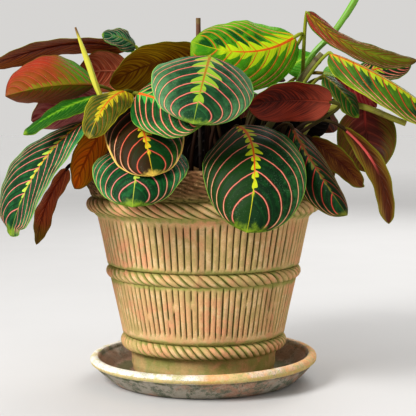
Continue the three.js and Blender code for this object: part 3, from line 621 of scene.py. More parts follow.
TOP_DEFAULTS = dict(
    inner=(6, 38, 13), outer=(50, 112, 62), fade=(0.6, 1.15), glow=(20, 78, 30), lively=0.5,
    vein=(206, 114, 98), vein_end=(210, 160, 120), vein_edge=(84, 28, 20), vein_mm=0.62,
    midrib=(206, 96, 30), band=(182, 196, 30), band_root=(206, 160, 16), band_mm=(-0.6, 5.5),
    teeth=2, margin=(118, 152, 60), tip=(140, 166, 36), base=None, left=None, right=None,
    patch=None, rough=0.52, brim_mm=0.85, dust=0.2, base_span=(0.36, 0.1),
)
TOP_LOOKS = dict(
    deep=dict(),
    # The front look's dark left half is painted shade.
    front=dict(outer=(64, 122, 66), left=(18, 54, 6), vein=(220, 128, 108)),
    teal=dict(inner=(4, 48, 18), outer=(60, 132, 80), fade=(0.6, 1.2), glow=(26, 108, 50),
        vein=(214, 130, 118), band=(170, 196, 74), band_mm=(-0.8, 6), margin=(134, 172, 72)),
    mint=dict(inner=(4, 52, 14), outer=(44, 128, 48), fade=(0.55, 1.2), glow=(24, 108, 38),
        band=(60, 150, 58), band_root=(74, 146, 48), band_mm=(0.3, 8), teeth=1, vein=(226, 134, 106)),
    silver=dict(inner=(20, 58, 30), outer=(92, 136, 92), fade=(0.4, 1.1), glow=(48, 104, 58),
        band=(138, 172, 50), band_root=(156, 168, 40), band_mm=(-0.5, 11.5), teeth=1,
        vein=(220, 124, 108), vein_edge=(70, 38, 28), margin=(130, 176, 84), midrib=(156, 112, 32)),
    olive=dict(inner=(8, 52, 12), outer=(44, 92, 22), band=(198, 180, 40), band_mm=(0.2, 5),
        margin=(216, 180, 96), left=(46, 28, 0), vein=(208, 96, 70), tip=(226, 190, 84), brim_mm=1.5,
        dust=0.08),
    lime=dict(inner=(66, 134, 8), outer=(104, 166, 16), fade=(0.5, 1.1), glow=(96, 160, 14),
        vein=(208, 108, 30), vein_edge=(130, 116, 14), midrib=(200, 92, 20), band=(170, 194, 18),
        band_root=(194, 198, 20), band_mm=(1.5, 12), teeth=1, lively=0.85, vein_mm=0.52,
        margin=(104, 164, 28), patch=(6, 66, 10)),
    spring=dict(inner=(60, 100, 20), outer=(124, 152, 20), vein=(186, 86, 36), midrib=(176, 92, 28),
        vein_mm=0.5, band=(156, 172, 30), band_mm=(1, 6), margin=(164, 170, 40), patch=(14, 48, 26),
        glow=(84, 124, 20)),
    yellow=dict(inner=(56, 68, 6), outer=(104, 108, 12), base=(176, 160, 14), glow=(118, 124, 10),
        vein=(132, 84, 20), vein_end=(130, 120, 30), vein_edge=(80, 80, 12), midrib=(190, 100, 24),
        band=(176, 162, 24), band_mm=(1, 6), teeth=1, vein_mm=0.4, margin=(164, 154, 30),
        patch=(36, 56, 6), tip=(150, 130, 40)),
    leafgreen=dict(inner=(28, 84, 12), outer=(62, 116, 22), vein=(58, 106, 24), vein_end=(76, 120, 34),
        vein_edge=(32, 78, 14), vein_mm=0.4, midrib=(110, 146, 36), band=(80, 136, 26), lively=0.25,
        band_root=(90, 140, 28), band_mm=(0.3, 3), margin=(120, 156, 40), glow=(40, 98, 16)),
    blade=dict(inner=(28, 70, 12), outer=(70, 104, 22), vein=(120, 74, 30), vein_end=(120, 110, 40),
        vein_edge=(40, 66, 14), vein_mm=0.5, midrib=(130, 110, 36), band=(80, 116, 26), lively=0.25,
        band_root=(90, 110, 28), band_mm=(0.3, 2), margin=(120, 130, 40), glow=(44, 88, 16)),
    pale=dict(inner=(96, 160, 60), outer=(170, 206, 120), vein=(130, 180, 84), vein_edge=(100, 160, 66),
        vein_mm=0.5, midrib=(170, 204, 120), band=(150, 190, 90), margin=(190, 214, 140),
        glow=(130, 184, 84), vein_end=(150, 196, 100), lively=0.3),
    shade=dict(inner=(7, 34, 11), outer=(52, 84, 18), vein=(180, 66, 54), vein_edge=(60, 24, 14),
        vein_mm=0.55, margin=(124, 122, 30), band=(96, 104, 34), band_root=(120, 84, 24),
        band_mm=(-0.8, 3), midrib=(112, 60, 26), tip=(120, 120, 40)),
    fresh=dict(inner=(62, 132, 18), outer=(96, 156, 30), vein=(92, 146, 34), vein_edge=(54, 110, 20),
        vein_mm=0.4, midrib=(150, 180, 50), band=(110, 166, 34), band_root=(120, 170, 36),
        band_mm=(0.3, 3), margin=(136, 176, 44), glow=(74, 140, 22), vein_end=(110, 156, 44), lively=0.3),
    dim=dict(inner=(16, 62, 40), outer=(70, 112, 84), vein=(120, 124, 96), vein_edge=(30, 60, 40),
        vein_mm=0.5, margin=(90, 140, 60), band=(70, 120, 70), band_root=(90, 110, 50),
        midrib=(110, 120, 50)),
    copper=dict(inner=(122, 66, 12), outer=(150, 44, 26), fade=(0.25, 0.8), glow=(144, 70, 22),
        vein=(176, 78, 50), vein_end=(180, 84, 58), vein_edge=(108, 36, 12), vein_mm=0.42,
        midrib=(116, 92, 10), band=(112, 106, 10), band_mm=(1, 7), band_root=(112, 106, 10),
        margin=(110, 84, 20), base=(70, 124, 4), base_span=(0.5, 0.06), right=(126, 76, 24),
        tip=(116, 60, 20)),
    russet=dict(inner=(92, 92, 12), outer=(124, 64, 18), vein=(120, 66, 24), vein_edge=(84, 60, 14),
        vein_mm=0.4, midrib=(120, 84, 24), band=(106, 120, 16), margin=(84, 128, 14), base=(150, 60, 40),
        tip=(90, 34, 16), base_span=(0.66, 0.16), glow=(104, 112, 14)),
)
UNDER_DEFAULTS = dict(
    inner=(78, 20, 7), outer=(128, 62, 16), vein=(150, 66, 34), margin=(100, 96, 16), line=0.4,
    streaks=1.4, rib=None, spread=0.2, base=None, tip=None, rib_span=(0.55, 0.2),
    base_span=(0.5, 0.1), rough=0.42,
)
UNDER_LOOKS = dict(
    maroon=dict(),
    # The wine look's pale pink base is a painted sheen.
    wine=dict(inner=(52, 6, 3), outer=(128, 44, 24), base=(166, 78, 56), vein=(160, 76, 50),
        margin=(96, 44, 18), line=0.06, streaks=1, base_span=(0.5, 0.04), rough=0.3),
    bronze=dict(inner=(150, 88, 12), outer=(196, 158, 28), vein=(80, 34, 4), margin=(100, 140, 20)),
    umber=dict(inner=(80, 32, 12), outer=(120, 80, 24), vein=(70, 20, 10), margin=(104, 124, 24),
        line=0.3),
    plum=dict(inner=(78, 26, 14), outer=(100, 78, 14), vein=(140, 60, 40), margin=(104, 124, 24),
        line=0.35, rib=(164, 60, 50), spread=1.2, base=(104, 34, 26), base_span=(0.4, 0.05),
        rib_span=(0.4, 0.1)),
    pinkrib=dict(inner=(72, 32, 12), outer=(110, 84, 22), vein=(60, 28, 10), margin=(110, 112, 26),
        line=0.3, rib=(212, 96, 90), spread=0.6, rib_span=(0.6, 0.3)),
    cinnamon=dict(inner=(148, 56, 30), outer=(186, 106, 62), vein=(84, 30, 16), margin=(130, 116, 30),
        line=0.4, tip=(116, 108, 20)),
    # Painted shade: near-black undersides for dark_under and the inner leaves, standing in for the shade
    # deep in the plant.
    painted_shade=dict(inner=(8, 3, 2), outer=(22, 9, 4), vein=(28, 10, 5), margin=(36, 30, 8)),
    rust=dict(inner=(128, 44, 12), outer=(160, 92, 32), vein=(56, 14, 8), margin=(110, 60, 22), line=0.5),
    brick=dict(inner=(156, 56, 38), outer=(186, 106, 70), vein=(196, 126, 96), margin=(120, 100, 30),
        line=0.4),
    mauve=dict(inner=(146, 58, 62), outer=(184, 112, 108), vein=(204, 140, 130), margin=(150, 110, 90),
        line=0.4),
    rose=dict(inner=(130, 30, 36), outer=(170, 66, 66), vein=(200, 110, 100), margin=(140, 80, 60),
        line=0.3),
    # The orange look is lighter than the leaf's own colour: painted light on a leaf that faces away from
    # the lamps.
    orange=dict(inner=(240, 120, 18), outer=(200, 136, 20), vein=(110, 34, 8), margin=(140, 120, 20)),
)


def vein_fields(p):
    """Where a point lies between the veins: its vein number with a little drift, the place
    between two veins, the distance to the nearest in shares of their spacing, and more."""
    phase, density, half = p.data("vein")
    s, t, _ = p.data("place")
    drift = p.noise(70, 2) - 0.5
    phase = phase + t.ramp(0.02, -0.02) * STAGGER + drift * 0.22
    between = phase.fraction()
    return phase, between, abs(between - 0.5), density, half, s, t, abs(t)


def paint_top(name, look):
    """The upper face of a leaf: green ground between coral veins, a jagged light band along the
    midrib, and a thin light margin."""
    look = SimpleNamespace(**{**TOP_DEFAULTS, **look})
    p = Paint(f"leaf_top_{name}")
    phase, between, off, density, half, s, t, a = vein_fields(p)
    x = a * half
    reach = ((0.75 + a * 0.7 - a * a * 0.9) * look.vein_mm * density).smallest(0.2)
    alive = phase.ramp(-0.9, -0.5) * a.ramp(0.99, 0.93) * s.ramp(0.99, 0.96)
    core = off.ramp(reach * 1.05, reach * 0.5) * alive
    shadow = off.ramp(reach * 2.1, reach * 1.0) * alive

    cloud, mottle = p.noise(48, 3), p.noise(150, 4, 0.65)
    streak = p.noise(1, 2, at=p.vector(phase * 9, a * 2.2, s * 3))
    ragged = p.noise(300, 2)
    blend = a + (cloud - 0.5) * 0.8 + (mottle - 0.5) * 0.8
    p.ground = p.mix(look.inner, look.outer, blend.ramp(*look.fade))
    lively = (streak * 0.35 + mottle * 0.65).ramp(0.4, 0.62)
    p.over(look.glow, between.ramp(-0.1, 0.4) * lively * look.lively)
    if look.patch:
        spot = (cloud * 0.7 + streak * 0.3).ramp(0.46, 0.54)
        free = a.ramp(0.86, 0.6) * off.ramp(0.14, 0.24) * s.ramp(0.2, 0.4)
        p.over(look.patch, spot * (free * (t.ramp(-0.02, 0.02) * 0.8 + 0.2)))
    if look.base:
        p.over(look.base, (s + (cloud - 0.5) * 0.3).ramp(*look.base_span))
    if look.right:
        p.over(look.right, t.ramp(0.01, -0.03) * (0.4 + cloud * 0.7).smallest(1.0))
    # The left tint: painted shade on the front look, the leaf's own dark olive-brown half on the olive
    # look.
    if look.left:
        p.over(look.left, t.ramp(-0.01, 0.03) * (streak * 0.9 + cloud * 0.6).ramp(0.15, 0.85))
    p.shade(streak * 0.5 + 0.75)

    # The band: a leaflet of random reach on each tooth, from the midrib outwards
    low, high = look.band_mm
    row = phase * look.teeth + 0.2
    number = row.math("FLOOR") + t.ramp(-0.001, 0.001) * 31
    size = p.node("ShaderNodeTexWhiteNoise", dict(W=number), "Value", noise_dimensions="1D")
    tooth = row.fraction()
    rounded = tooth.ramp(-0.25, 0.6) * tooth.ramp(1.0, 0.66).math("POWER", 0.5)
    tier = rounded * (size * 0.75 + 0.4) + (p.noise(170, 2) - 0.5) * 0.35
    taper = s.ramp(-0.05, 0.12) * s.ramp(0.9, 0.5) * 0.75 + 0.25
    edge = (tier * (high - low) + low) * taper + (ragged - 0.5) * 0.9
    band = x.ramp(edge + 0.25, edge - 0.25) * s.ramp(0.82, 0.76)
    p.over(look.vein_edge, shadow * 0.7)
    outwards = (x + s * 3 + (mottle - 0.5) * 2).ramp(0.8, 2.8)
    leaflet = p.mix(look.band_root, look.band, outwards)
    p.over(p.lit(leaflet, streak * 0.7 + 0.65), band * 0.94)

    strip = p.mix(look.vein, look.vein_end, (a + (mottle - 0.5) * 0.6).ramp(0.5, 0.95))
    p.over(p.lit(strip, mottle * 0.9 + 0.5), core * (cloud * 0.5 + 0.7).smallest(0.95))
    rib = x.ramp((1.1 - s * 0.9) + 0.2, (1.1 - s * 0.9) - 0.35)
    p.over(p.mix(look.midrib, look.band, s.ramp(0.6, 0.74) * 0.8), rib)
    width = (cloud * 1.6 + 0.2) * look.brim_mm
    p.over(look.margin, (half * (1 - a)).ramp(width, width * 0.4))
    p.over(look.tip, (s + (mottle - 0.5) * 0.16).ramp(0.955, 1.01) * 0.6)
    dust = p.noise(1100, 3, 0.7)
    p.over((160, 196, 160), (dust + (cloud - 0.5) * 0.3 + a * 0.04).ramp(0.62, 0.74) * look.dust)
    height = between.ramp(0.5, 0.95) + core * 0.5 + streak * 0.3 + dust * 0.15
    return p.finish(look.rough + (cloud - 0.5) * 0.2 + streak * 0.1, height, 0.0005, 0.15)


def paint_under(name, look):
    """The underside of a leaf: maroon to bronze with a silky sheen and faint raised veins."""
    look = SimpleNamespace(**{**UNDER_DEFAULTS, **look})
    p = Paint(f"leaf_under_{name}")
    phase, _, off, density, half, s, _, a = vein_fields(p)
    reach = ((1.2 - a * 0.6) * 0.7 * density).smallest(0.18)
    line = off.ramp(reach * 1.2, reach * 0.4) * (phase.ramp(-0.9, -0.5) * a.ramp(1.0, 0.93))
    cloud = p.noise(38, 3)
    streak = p.noise(1, 3, at=p.vector(phase * 7, a * 1.6, s * 2))
    outwards = (streak * 0.8 + cloud * 0.5 + (a - 0.5) * look.spread).ramp(0.45, 0.85)
    p.ground = p.mix(look.inner, look.outer, outwards)
    # The base tint: a painted sheen on the wine look, the leaf's own pink base on the plum look.
    if look.base:
        near = (s + (cloud - 0.5) * 0.5 + a * 0.12).ramp(*look.base_span)
        p.over(look.base, near * 0.85)
    if look.tip:
        p.over(look.tip, (s + (cloud - 0.5) * 0.3).ramp(0.7, 0.95) * 0.8)
    p.shade((streak - 0.5) * look.streaks + 1.0)
    p.over(look.vein, line * look.line)
    if look.rib:
        p.over(look.rib, (a * half).ramp(1.5, 0.5) * s.ramp(*look.rib_span) * 0.8)
    else:
        p.over(look.vein, (a * half).ramp(1.1, 0.5) * look.line * 1.2)
    p.over(look.margin, (half * (1 - a)).ramp(1.5, 0.3) * 0.7)
    height = line * look.line * 2 + streak * 0.5 + p.noise(1200, 2) * 0.1
    return p.finish(look.rough + cloud * 0.16, height, 0.0003, 0.2)


def paint_stalk():
    """A leaf stalk: pale green above, dark reddish-brown towards the soil, partly its own colour
    and partly painted shade among the leaves, with fine lines along it.
    """
    p = Paint("leaf_stalk")
    share, along, _ = p.data("vein")
    _, turn, tint = p.data("place")
    lines = p.noise(1, 2, at=p.vector(turn * 9, along * 0.03, tint * 7))
    cloud = p.noise(90, 2)
    # Darker below the crown: the stalk's own reddish-brown base with painted shade among the leaves.
    above = (p.position().parts()[2] + (cloud - 0.5) * 0.02).ramp(0.19, 0.265)
    p.ground = p.mix((48, 28, 15), (140, 152, 42), above)
    p.over((136, 66, 38), tint.ramp(0.45, 0.75) * share.ramp(0.4, 0.9) * above * 0.7)
    p.shade(lines * 0.8 + 0.55)
    return p.finish(0.5 + cloud * 0.15, lines, 0.0002, 0.15)


def paint_new_leaf(name, low, high, tip):
    """A rolled young leaf, with the line where its edge overlaps."""
    p = Paint(name)
    share, along, _ = p.data("vein")
    turn = p.data("place")[1]
    lines = p.noise(1, 2, at=p.vector(turn * 12, along * 0.02, 1.0))
    p.ground = p.mix(low, high, (share + (p.noise(80, 2) - 0.5) * 0.3).ramp(0.2, 0.75))
    p.over(tip, share.ramp(0.93, 0.99))
    seam = abs((turn * 2 - along * 0.012).fraction() - 0.5)
    p.over((96, 104, 20), seam.ramp(0.07, 0.02) * 0.55)
    p.shade(lines * 0.6 + 0.7)
    return p.finish(0.42 + lines * 0.1, lines)


def paint_cane(name, bark, scar, shade_towards_soil=False):
    """A woody stem with darker rings where old leaves stood. One that stands deep among the
    leaves darkens downwards, as painted shade.
    """
    p = Paint(name)
    along, turn = p.data("vein")[1], p.data("place")[1]
    grain = p.noise(1, 3, at=p.vector(turn * 8, along * 0.05, 2.0))
    ring = abs((along * 0.045 + (grain - 0.5) * 0.1).fraction() - 0.5)
    p.ground = p.mix(bark, scar, ring.ramp(0.09, 0.02) * 0.8)
    p.over((128, 116, 60), p.noise(120, 2).ramp(0.5, 0.7) * 0.5)
    p.shade(grain * 0.9 + 0.5)
    # Painted shade: darker towards the soil, deep among the leaves.
    if shade_towards_soil:
        p.shade(p.position().parts()[2].ramp(0.2, 0.26) * 0.85 + 0.15)
    return p.finish(0.6 + grain * 0.15, grain + ring.ramp(0.02, 0.09) * -0.6, 0.0004)


def paint_cut():
    """The pale pith of a cut end with darker wood round it."""
    p = Paint("cut_end")
    pith = p.noise(900, 3)
    p.ground = p.mix((196, 178, 128), (128, 92, 52), pith.ramp(0.35, 0.7))
    return p.finish(0.8 + pith * 0.1, pith)


def paint_pot():
    """Weathered terracotta: peach and pink clay, green algae by the ropes and in the hollows, and
    dirt with painted shade in the grooves and creases. vein holds (hollow, algae, a darkening towards
    the rim: the collar's own brown with painted shade under the leaves, and painted shade inside)."""
    p = Paint("terracotta_pot")
    hollow, algae, upper = p.data("vein")
    patch, mottle = p.noise(26, 4, 0.6), p.noise(110, 4, 0.65)
    grit, speck = p.noise(900, 3, 0.7), p.cells(700)
    rise = p.noise(1, 3, at=p.position(90, 90, 16))
    p.ground = p.mix((198, 168, 116), (212, 156, 116), (patch * 0.6 + rise * 0.4).ramp(0.44, 0.6))
    p.over((218, 196, 152), mottle.ramp(0.5, 0.62) * 0.75)
    p.over((152, 124, 82), (rise * 0.5 + mottle * 0.5).ramp(0.52, 0.62) * 0.7)
    p.over((158, 152, 92), (rise * 0.7 + mottle * 0.3).ramp(0.47, 0.4) * 0.35)
    p.over((150, 148, 84), hollow.ramp(0.0, 0.12) * mottle.ramp(0.4, 0.56) * 0.6)
    green = (algae + (mottle - 0.5) * 1.3 + (patch - 0.5) * 0.9).ramp(0.3, 0.75)
    p.over((150, 150, 80), green * 0.85)
    # Darker towards the rim: the collar's own brown with painted shade under the leaves; inside the pot
    # it is painted shade.
    p.over((96, 64, 34), (upper + (mottle - 0.5) * 0.7).ramp(0.25, 0.85) * 0.85)
    # Dirt with painted shade in the grooves, the rope creases, the collar's reeds and inside the pot.
    dirt_and_shade = (hollow + (grit - 0.5) * 0.3 + (mottle - 0.5) * 0.3).ramp(0.22, 0.8)
    p.over(p.mix((66, 52, 24), (80, 82, 34), algae), dirt_and_shade * 0.93)
    # A painted highlight: pale peach on the raised clay, most of all on the rope strands.
    proud = hollow.ramp(0.1, 0.0) * mottle.ramp(0.4, 0.56) * algae.ramp(0.5, 0.3)
    p.over((228, 184, 136), proud * 0.4)
    p.over((84, 62, 34), speck.ramp(0.16, 0.08) * mottle.ramp(0.42, 0.6) * 0.5)
    p.shade(grit * 0.4 + 0.8)
    return p.finish(0.86 + grit * 0.1, grit * 0.6 + mottle * 0.9, 0.0007, 0.3)


def paint_saucer():
    """Old terracotta with grey bloom, green and black specks, and a pale worn lip with an ochre edge,
    which turns orange in the east, lightened there as painted light. vein holds (lip, inside, dark
    green algae with painted shade under the lip) and the first value of place the lip's lower edge."""
    p = Paint("terracotta_saucer")
    lip, inside, algae_and_shade = p.data("vein")
    edge = p.data("place")[0]
    patch, mottle = p.noise(34, 4, 0.65), p.noise(120, 4, 0.7)
    grit, speck = p.noise(800, 3, 0.7), p.cells(420)
    # The lip turns from near white in the west to orange in the east: the orange is the clay's own, made
    # lighter as painted light where that side is shaded.
    east = p.position().parts()[0]
    orange = (east * 8 + (patch - 0.5) * 5).ramp(-0.4, 0.9)
    p.ground = p.mix((238, 234, 222), (230, 176, 122), orange)
    p.over((202, 174, 100), (edge + (mottle - 0.5) * 1.2).ramp(0.35, 0.7) * 0.85)
    p.over((226, 206, 150), (mottle * 0.6 + patch * 0.4).ramp(0.5, 0.56) * 0.6)
    p.over((150, 162, 96), (mottle * 0.5 + grit * 0.5).ramp(0.5, 0.6) * 0.6)
    p.over((168, 160, 146), (grit * 0.7 + patch * 0.3).ramp(0.47, 0.4) * 0.6)
    worn_lip = p.ground
    p.ground = p.mix((172, 164, 150), (178, 138, 116), patch.ramp(0.46, 0.6))
    p.over((118, 128, 108), mottle.ramp(0.48, 0.58) * 0.8)
    p.over((84, 78, 66), (mottle * 0.4 + grit * 0.6).ramp(0.5, 0.62) * 0.75)
    p.over((186, 176, 156), (patch * 0.5 + grit * 0.5).ramp(0.54, 0.64) * 0.6)
    p.over((146, 116, 94), inside * patch.ramp(0.3, 0.5) * 0.8)
    # Dark green algae, with painted shade in the band under the lip; it also darkens the floor round the
    # pot's foot and the bottom of the outer wall.
    p.over((84, 90, 52), (algae_and_shade + (mottle - 0.5) * 0.9).ramp(0.4, 0.9) * 0.75)
    p.over(worn_lip, (lip + (mottle - 0.5) * 0.9 + (grit - 0.5) * 0.5).ramp(0.34, 0.54) * 0.95)
    black = speck.ramp(0.24, 0.12) * grit.ramp(0.42, 0.56) * mottle.ramp(0.4, 0.52)
    p.over((28, 26, 20), black * (0.85 - lip * 0.65))
    p.shade(grit * 0.7 + 0.65)
    return p.finish(0.85 + grit * 0.1, grit * 0.6 + mottle, 0.001, 0.3)


def paint_soil():
    """Dark potting mix with bark brown and a few pale grains. place.x is each crumb's own tint."""
    p = Paint("soil")
    tint = p.data("place")[0]
    grit, clump = p.noise(700, 4, 0.7), p.noise(160, 3)
    p.ground = p.mix((20, 13, 9), (50, 34, 22), (clump * 0.6 + grit * 0.4).ramp(0.4, 0.65))
    p.over((84, 58, 36), tint.ramp(0.55, 0.8))
    p.over((206, 198, 182), tint.ramp(0.93, 0.95))
    p.shade(grit * 0.9 + 0.55)
    return p.finish(0.9 + grit * 0.08, grit, 0.0012, 0.2)


def between(first, second, low, high, value):
    """What lies between first, at low, and second, at high."""
    return first + (second - first) * (value - low) / (high - low)


def body_radius(z):
    """The outside of the pot's tapered body."""
    (z0, r0), (z1, r1) = BODY_LOW, BODY_HIGH
    return between(r0, r1, z0, z1, z)


def inner_radius(z):
    """The inside of the pot's wall."""
    outside = body_radius(z) if z < NECK[0] else NECK[1] + (z - NECK[0]) * 0.25
    return outside - WALL


def groove_rows(rng):
    """For each groove: the two ends of its low run and of its high run, the middle of a gap in
    some of them, its drift sideways and its force."""
    rows = []
    for _ in range(GROOVES):
        ends = [end + rng.uniform(*slack) for run in GROOVE_ENDS for end, slack in zip(run, GROOVE_SLACK)]
        gap = rng.uniform(50, 74) if rng.random() < GROOVE_GAPS else math.inf
        rows.append((*ends, gap, rng.uniform(-0.07, 0.07), rng.uniform(0.75, 1.15)))
    return np.array(rows)


def rope_rows(rope, steps=15, spread=80):
    """Rows over the outer half of a rope: height, radius, the rope, and how far round it."""
    made = []
    for turn in np.linspace(-spread, spread, steps):
        lean = math.radians(turn)
        z = rope["z"] + rope["tube"] * math.sin(lean)
        made.append((z, rope["ring"] + rope["tube"] * math.cos(lean), rope, turn / spread))
    return made


def wall_rows(heights, radius=body_radius, kind="wall"):
    """Rows at these heights, where radius gives each row's radius."""
    return [(z, radius(z), kind, 0) for z in heights]


def foot_radius(z):
    """The foot below the low rope, with a fine turned ring on it."""
    return FOOT_R + (z - 8) * 0.11 + 0.5 * math.exp(-(((z - 14) / 1.6) ** 2))


def collar_radius(z):
    """The collar above the rim's rope, which flares to the lip."""
    share = (z - NECK[0]) / (RIM_Z - NECK[0])
    return NECK[1] + (RIM_R - NECK[1]) * max(share, 0) ** 0.8


def pot_rows():
    """The pot's profile from the drain hole round the outside and back down the inside: height,
    radius, kind of surface, and how far round a rope."""
    rows = [(POT_BOTTOM, radius, None, 0) for radius in (DRAIN_R, 30, FOOT_R - 3)]
    rows += [(POT_BOTTOM + up, FOOT_R - back, "foot", 0) for up, back in ((0.4, 1.4), (1.6, 0.6))]
    rows += wall_rows(np.linspace(9, 24.5, 11), foot_radius, "foot")
    rows += rope_rows(LOW_ROPE) + wall_rows(np.arange(38.4, 80.8, ROW_STEP))
    rows += rope_rows(MIDDLE_ROPE) + wall_rows(np.arange(92, 129.5, ROW_STEP))
    rows += rope_rows(RIM_ROPE) + wall_rows(np.linspace(144.4, RIM_Z - 2.2, 36), collar_radius, "collar")
    for turn in np.radians([20, 50, 80, 110, 140]):
        rows.append((RIM_Z - 2.4 + 2.4 * math.sin(turn), RIM_R - 3 + 3 * math.cos(turn), "lip", 0))
    rows.append((RIM_Z - 4, inner_radius(RIM_Z), "inside", 0))
    rows += wall_rows(np.linspace(RIM_Z - 8, POT_INSIDE_Z + 6, 8), inner_radius, "inside")
    inner = inner_radius(POT_INSIDE_Z)
    ends = ((POT_INSIDE_Z + 1, inner - 3), (POT_INSIDE_Z, inner - 6), (POT_INSIDE_Z, DRAIN_R))
    return rows + [(z, radius, None, 0) for z, radius in ends]


def make_pot():
    """The pot as one closed turned wall with hand-cut grooves, twisted ropes and a reeded collar.
    The columns of points lean along the strands of each rope."""
    shares, depths = (np.array(values) for values in zip(*GROOVE_SHAPE))
    column = ((np.arange(GROOVES)[:, None] + shares) * (math.tau / GROOVES)).ravel()
    depth = np.tile(depths, GROOVES)
    grooves = np.repeat(groove_rows(np.random.default_rng(SEED)), len(shares), 0)
    *ends, gap, drift, force = grooves.T
    crease = (2 * ((STRANDS * column / math.tau) % 1) - 1) ** 4
    strand_force = 1 + 0.25 * np.array([wobble(math.floor(STRANDS * q / math.tau) * 1.7) for q in column])

    points, vein = [], []
    lean = 0.0
    for z, radius, kind, turn in pot_rows():
        rope = isinstance(kind, dict)
        if rope:
            if turn == -1:
                below = lean
            lean = below + kind["lean"] * (turn + 1) / 2 * math.tau / STRANDS
        angle = column + lean
        sideways = 0.0
        hollow = np.zeros(len(column))
        r = np.full(len(angle), float(radius))
        uneven = ring_noise(angle, 2.2, z * 0.03)
        outside = kind not in (None, "inside")
        near = min(abs(z - band["z"]) - band["tube"] for band in (LOW_ROPE, MIDDLE_ROPE, RIM_ROPE))
        algae = math.exp(-max(0.0, near) / ALGAE_REACH) if outside else 0.4
        if kind == "wall":
            low, high = ends[:2] if z < MIDDLE_ROPE["z"] else ends[2:]
            cut = smooth(z, low - 1.2, low + 1.2) * smooth(z, high + 1.2, high - 1.2)
            cut = cut * smooth(np.abs(z - gap), 1.5, 4)
            sideways = drift * (math.tau / GROOVES) * math.sin(z * 0.07)
            r -= GROOVE_DEPTH * depth * cut * force
            hollow = depth * cut
        elif rope:
            r -= STRAND_DEPTH * crease * (1 - abs(turn) ** 6) * strand_force
            hollow = crease * 0.62
            algae = 0.2 + 0.5 * abs(turn) ** 1.5 + crease * 0.5
        elif kind == "collar":
            reed = ring_noise(angle, 14, z * 0.5)
            phase = COLLAR_RIDGES * angle / math.tau + z / COLLAR_PITCH + 0.35 * uneven + 0.5 * reed
            ridge = np.abs(2 * (phase % 1) - 1) ** 2
            r -= COLLAR_DEPTH * ridge * (1 + 0.7 * reed)
            hollow = ridge * (0.8 + 0.4 * reed)
        elif kind == "foot":
            algae = 0.5
        elif kind in ("inside", "lip"):
            # Inside, the hollow value darkens the wall with dirt and painted shade.
            hollow = 0.35 if kind == "inside" else 0.05
        r = r + (POT_UNEVEN * uneven if outside else 0)
        # The rim's darkening: the collar's own brown with painted shade under the leaves, and painted
        # shade all over the inside.
        upper = float(smooth(z, 128, 158)) if outside else 0.8
        points.append(ring_points(r, angle + sideways, z))
        vein.append(np.stack([np.broadcast_to(value, r.shape) for value in (hollow, algae, upper)], 1))
    shape = Shape()
    shape.quads(shape.vertices(np.array(points), np.array(vein)), wrap=True, closed=True)
    shape.build("pot", [paint_pot()], "terracotta_pot", sharp=75)


def make_saucer():
    """The saucer, turned by hand: a little uneven, with a rolled lip."""
    outer = [(14, 0), (40, 0), (SAUCER_BASE_R - 1.5, 0), (SAUCER_BASE_R + 0.3, 0.5)]
    outer += [(SAUCER_BASE_R + 2 + 13.2 * share**0.9, 1.6 + 12.6 * share)
              for share in (0, *np.linspace(0.1, 1, 12))]
    lip_r, lip_z, tube_r = (SAUCER_LIP[key] for key in ("ring", "z", "tube"))
    lip = [(lip_r + tube_r * math.cos(q) * SAUCER_LIP["oval"], lip_z + tube_r * math.sin(q))
           for q in np.radians(np.arange(-30, 181, 15))]
    inner = [(lip_r - 3.9 - 8.4 * share**0.8, 17 - 8.8 * share) for share in np.linspace(0.08, 1, 9)]
    inner += [(70, 6.6), (66, 6.1)] + [(radius, SAUCER_FLOOR) for radius in (60, 50, 38, 24, 12)]
    angle = np.arange(SAUCER_COLUMNS) / SAUCER_COLUMNS * math.tau
    points, vein, place = [], [], []
    for k, (radius, z) in enumerate(outer + lip + inner):
        lift = max(0.0, z - SAUCER_FLOOR) / (SAUCER_H - SAUCER_FLOOR)
        free = float(smooth(radius, 20, 60))
        uneven, pitted = ring_noise(angle, 1.6, z * 0.05), ring_noise(angle, 9, z * 0.3 + k)
        r = radius + (SAUCER_UNEVEN * uneven * lift + SAUCER_PITS * pitted) * free
        height = z + SAUCER_WARP * lift * (radius * np.cos(angle) / SAUCER_RIM_R)
        height = height + (0.35 * uneven * lift + 0.12 * pitted) * (z > 1)
        points.append(ring_points(r, angle, height))
        step = k - len(outer)
        worn = edge = algae_and_shade = 0
        if step >= len(lip):
            algae_and_shade = float(smooth(abs(radius - 64), 12, 2))
        elif step >= 0:
            worn, edge = float(smooth(step, 12, 8)), float(smooth(step, 4, 1))
        else:
            # The band under the lip is algae with painted shade.
            algae_and_shade = 0.35 * float(smooth(z, 9, 2)) + 0.7 * float(smooth(z, 10, 14))
        vein.append([(worn, step >= len(lip), algae_and_shade)] * SAUCER_COLUMNS)
        place.append([(edge, 0, 0)] * SAUCER_COLUMNS)
    shape = Shape()
    numbers = shape.vertices(np.array(points), np.array(vein, float), np.array(place, float))
    shape.quads(numbers, wrap=True)
    shape.fan(numbers[0], (0, 0, 0), vein[0][0], flip=True)
    shape.fan(numbers[-1], (0, 0, SAUCER_FLOOR), vein[-1][0])
    shape.build("saucer", [paint_saucer()], "terracotta_saucer")


def soil_radius(z):
    """The soil's edge, just clear of the wall."""
    return inner_radius(z) - SOIL_GAP


def soil_top(x, y):
    """The height of the lumpy soil, which is domed and level with its edge at the wall."""
    reach = math.hypot(x, y) / soil_radius(SOIL_Z)
    lumps = 0.9 * wobble(x * 0.09, y * 0.09, 1) + 0.7 * wobble(x * 0.3, y * 0.3, 5)
    return SOIL_Z + SOIL_DOME * (1 - reach**2) + lumps * float(smooth(reach, 1.02, 0.9)) - 0.6


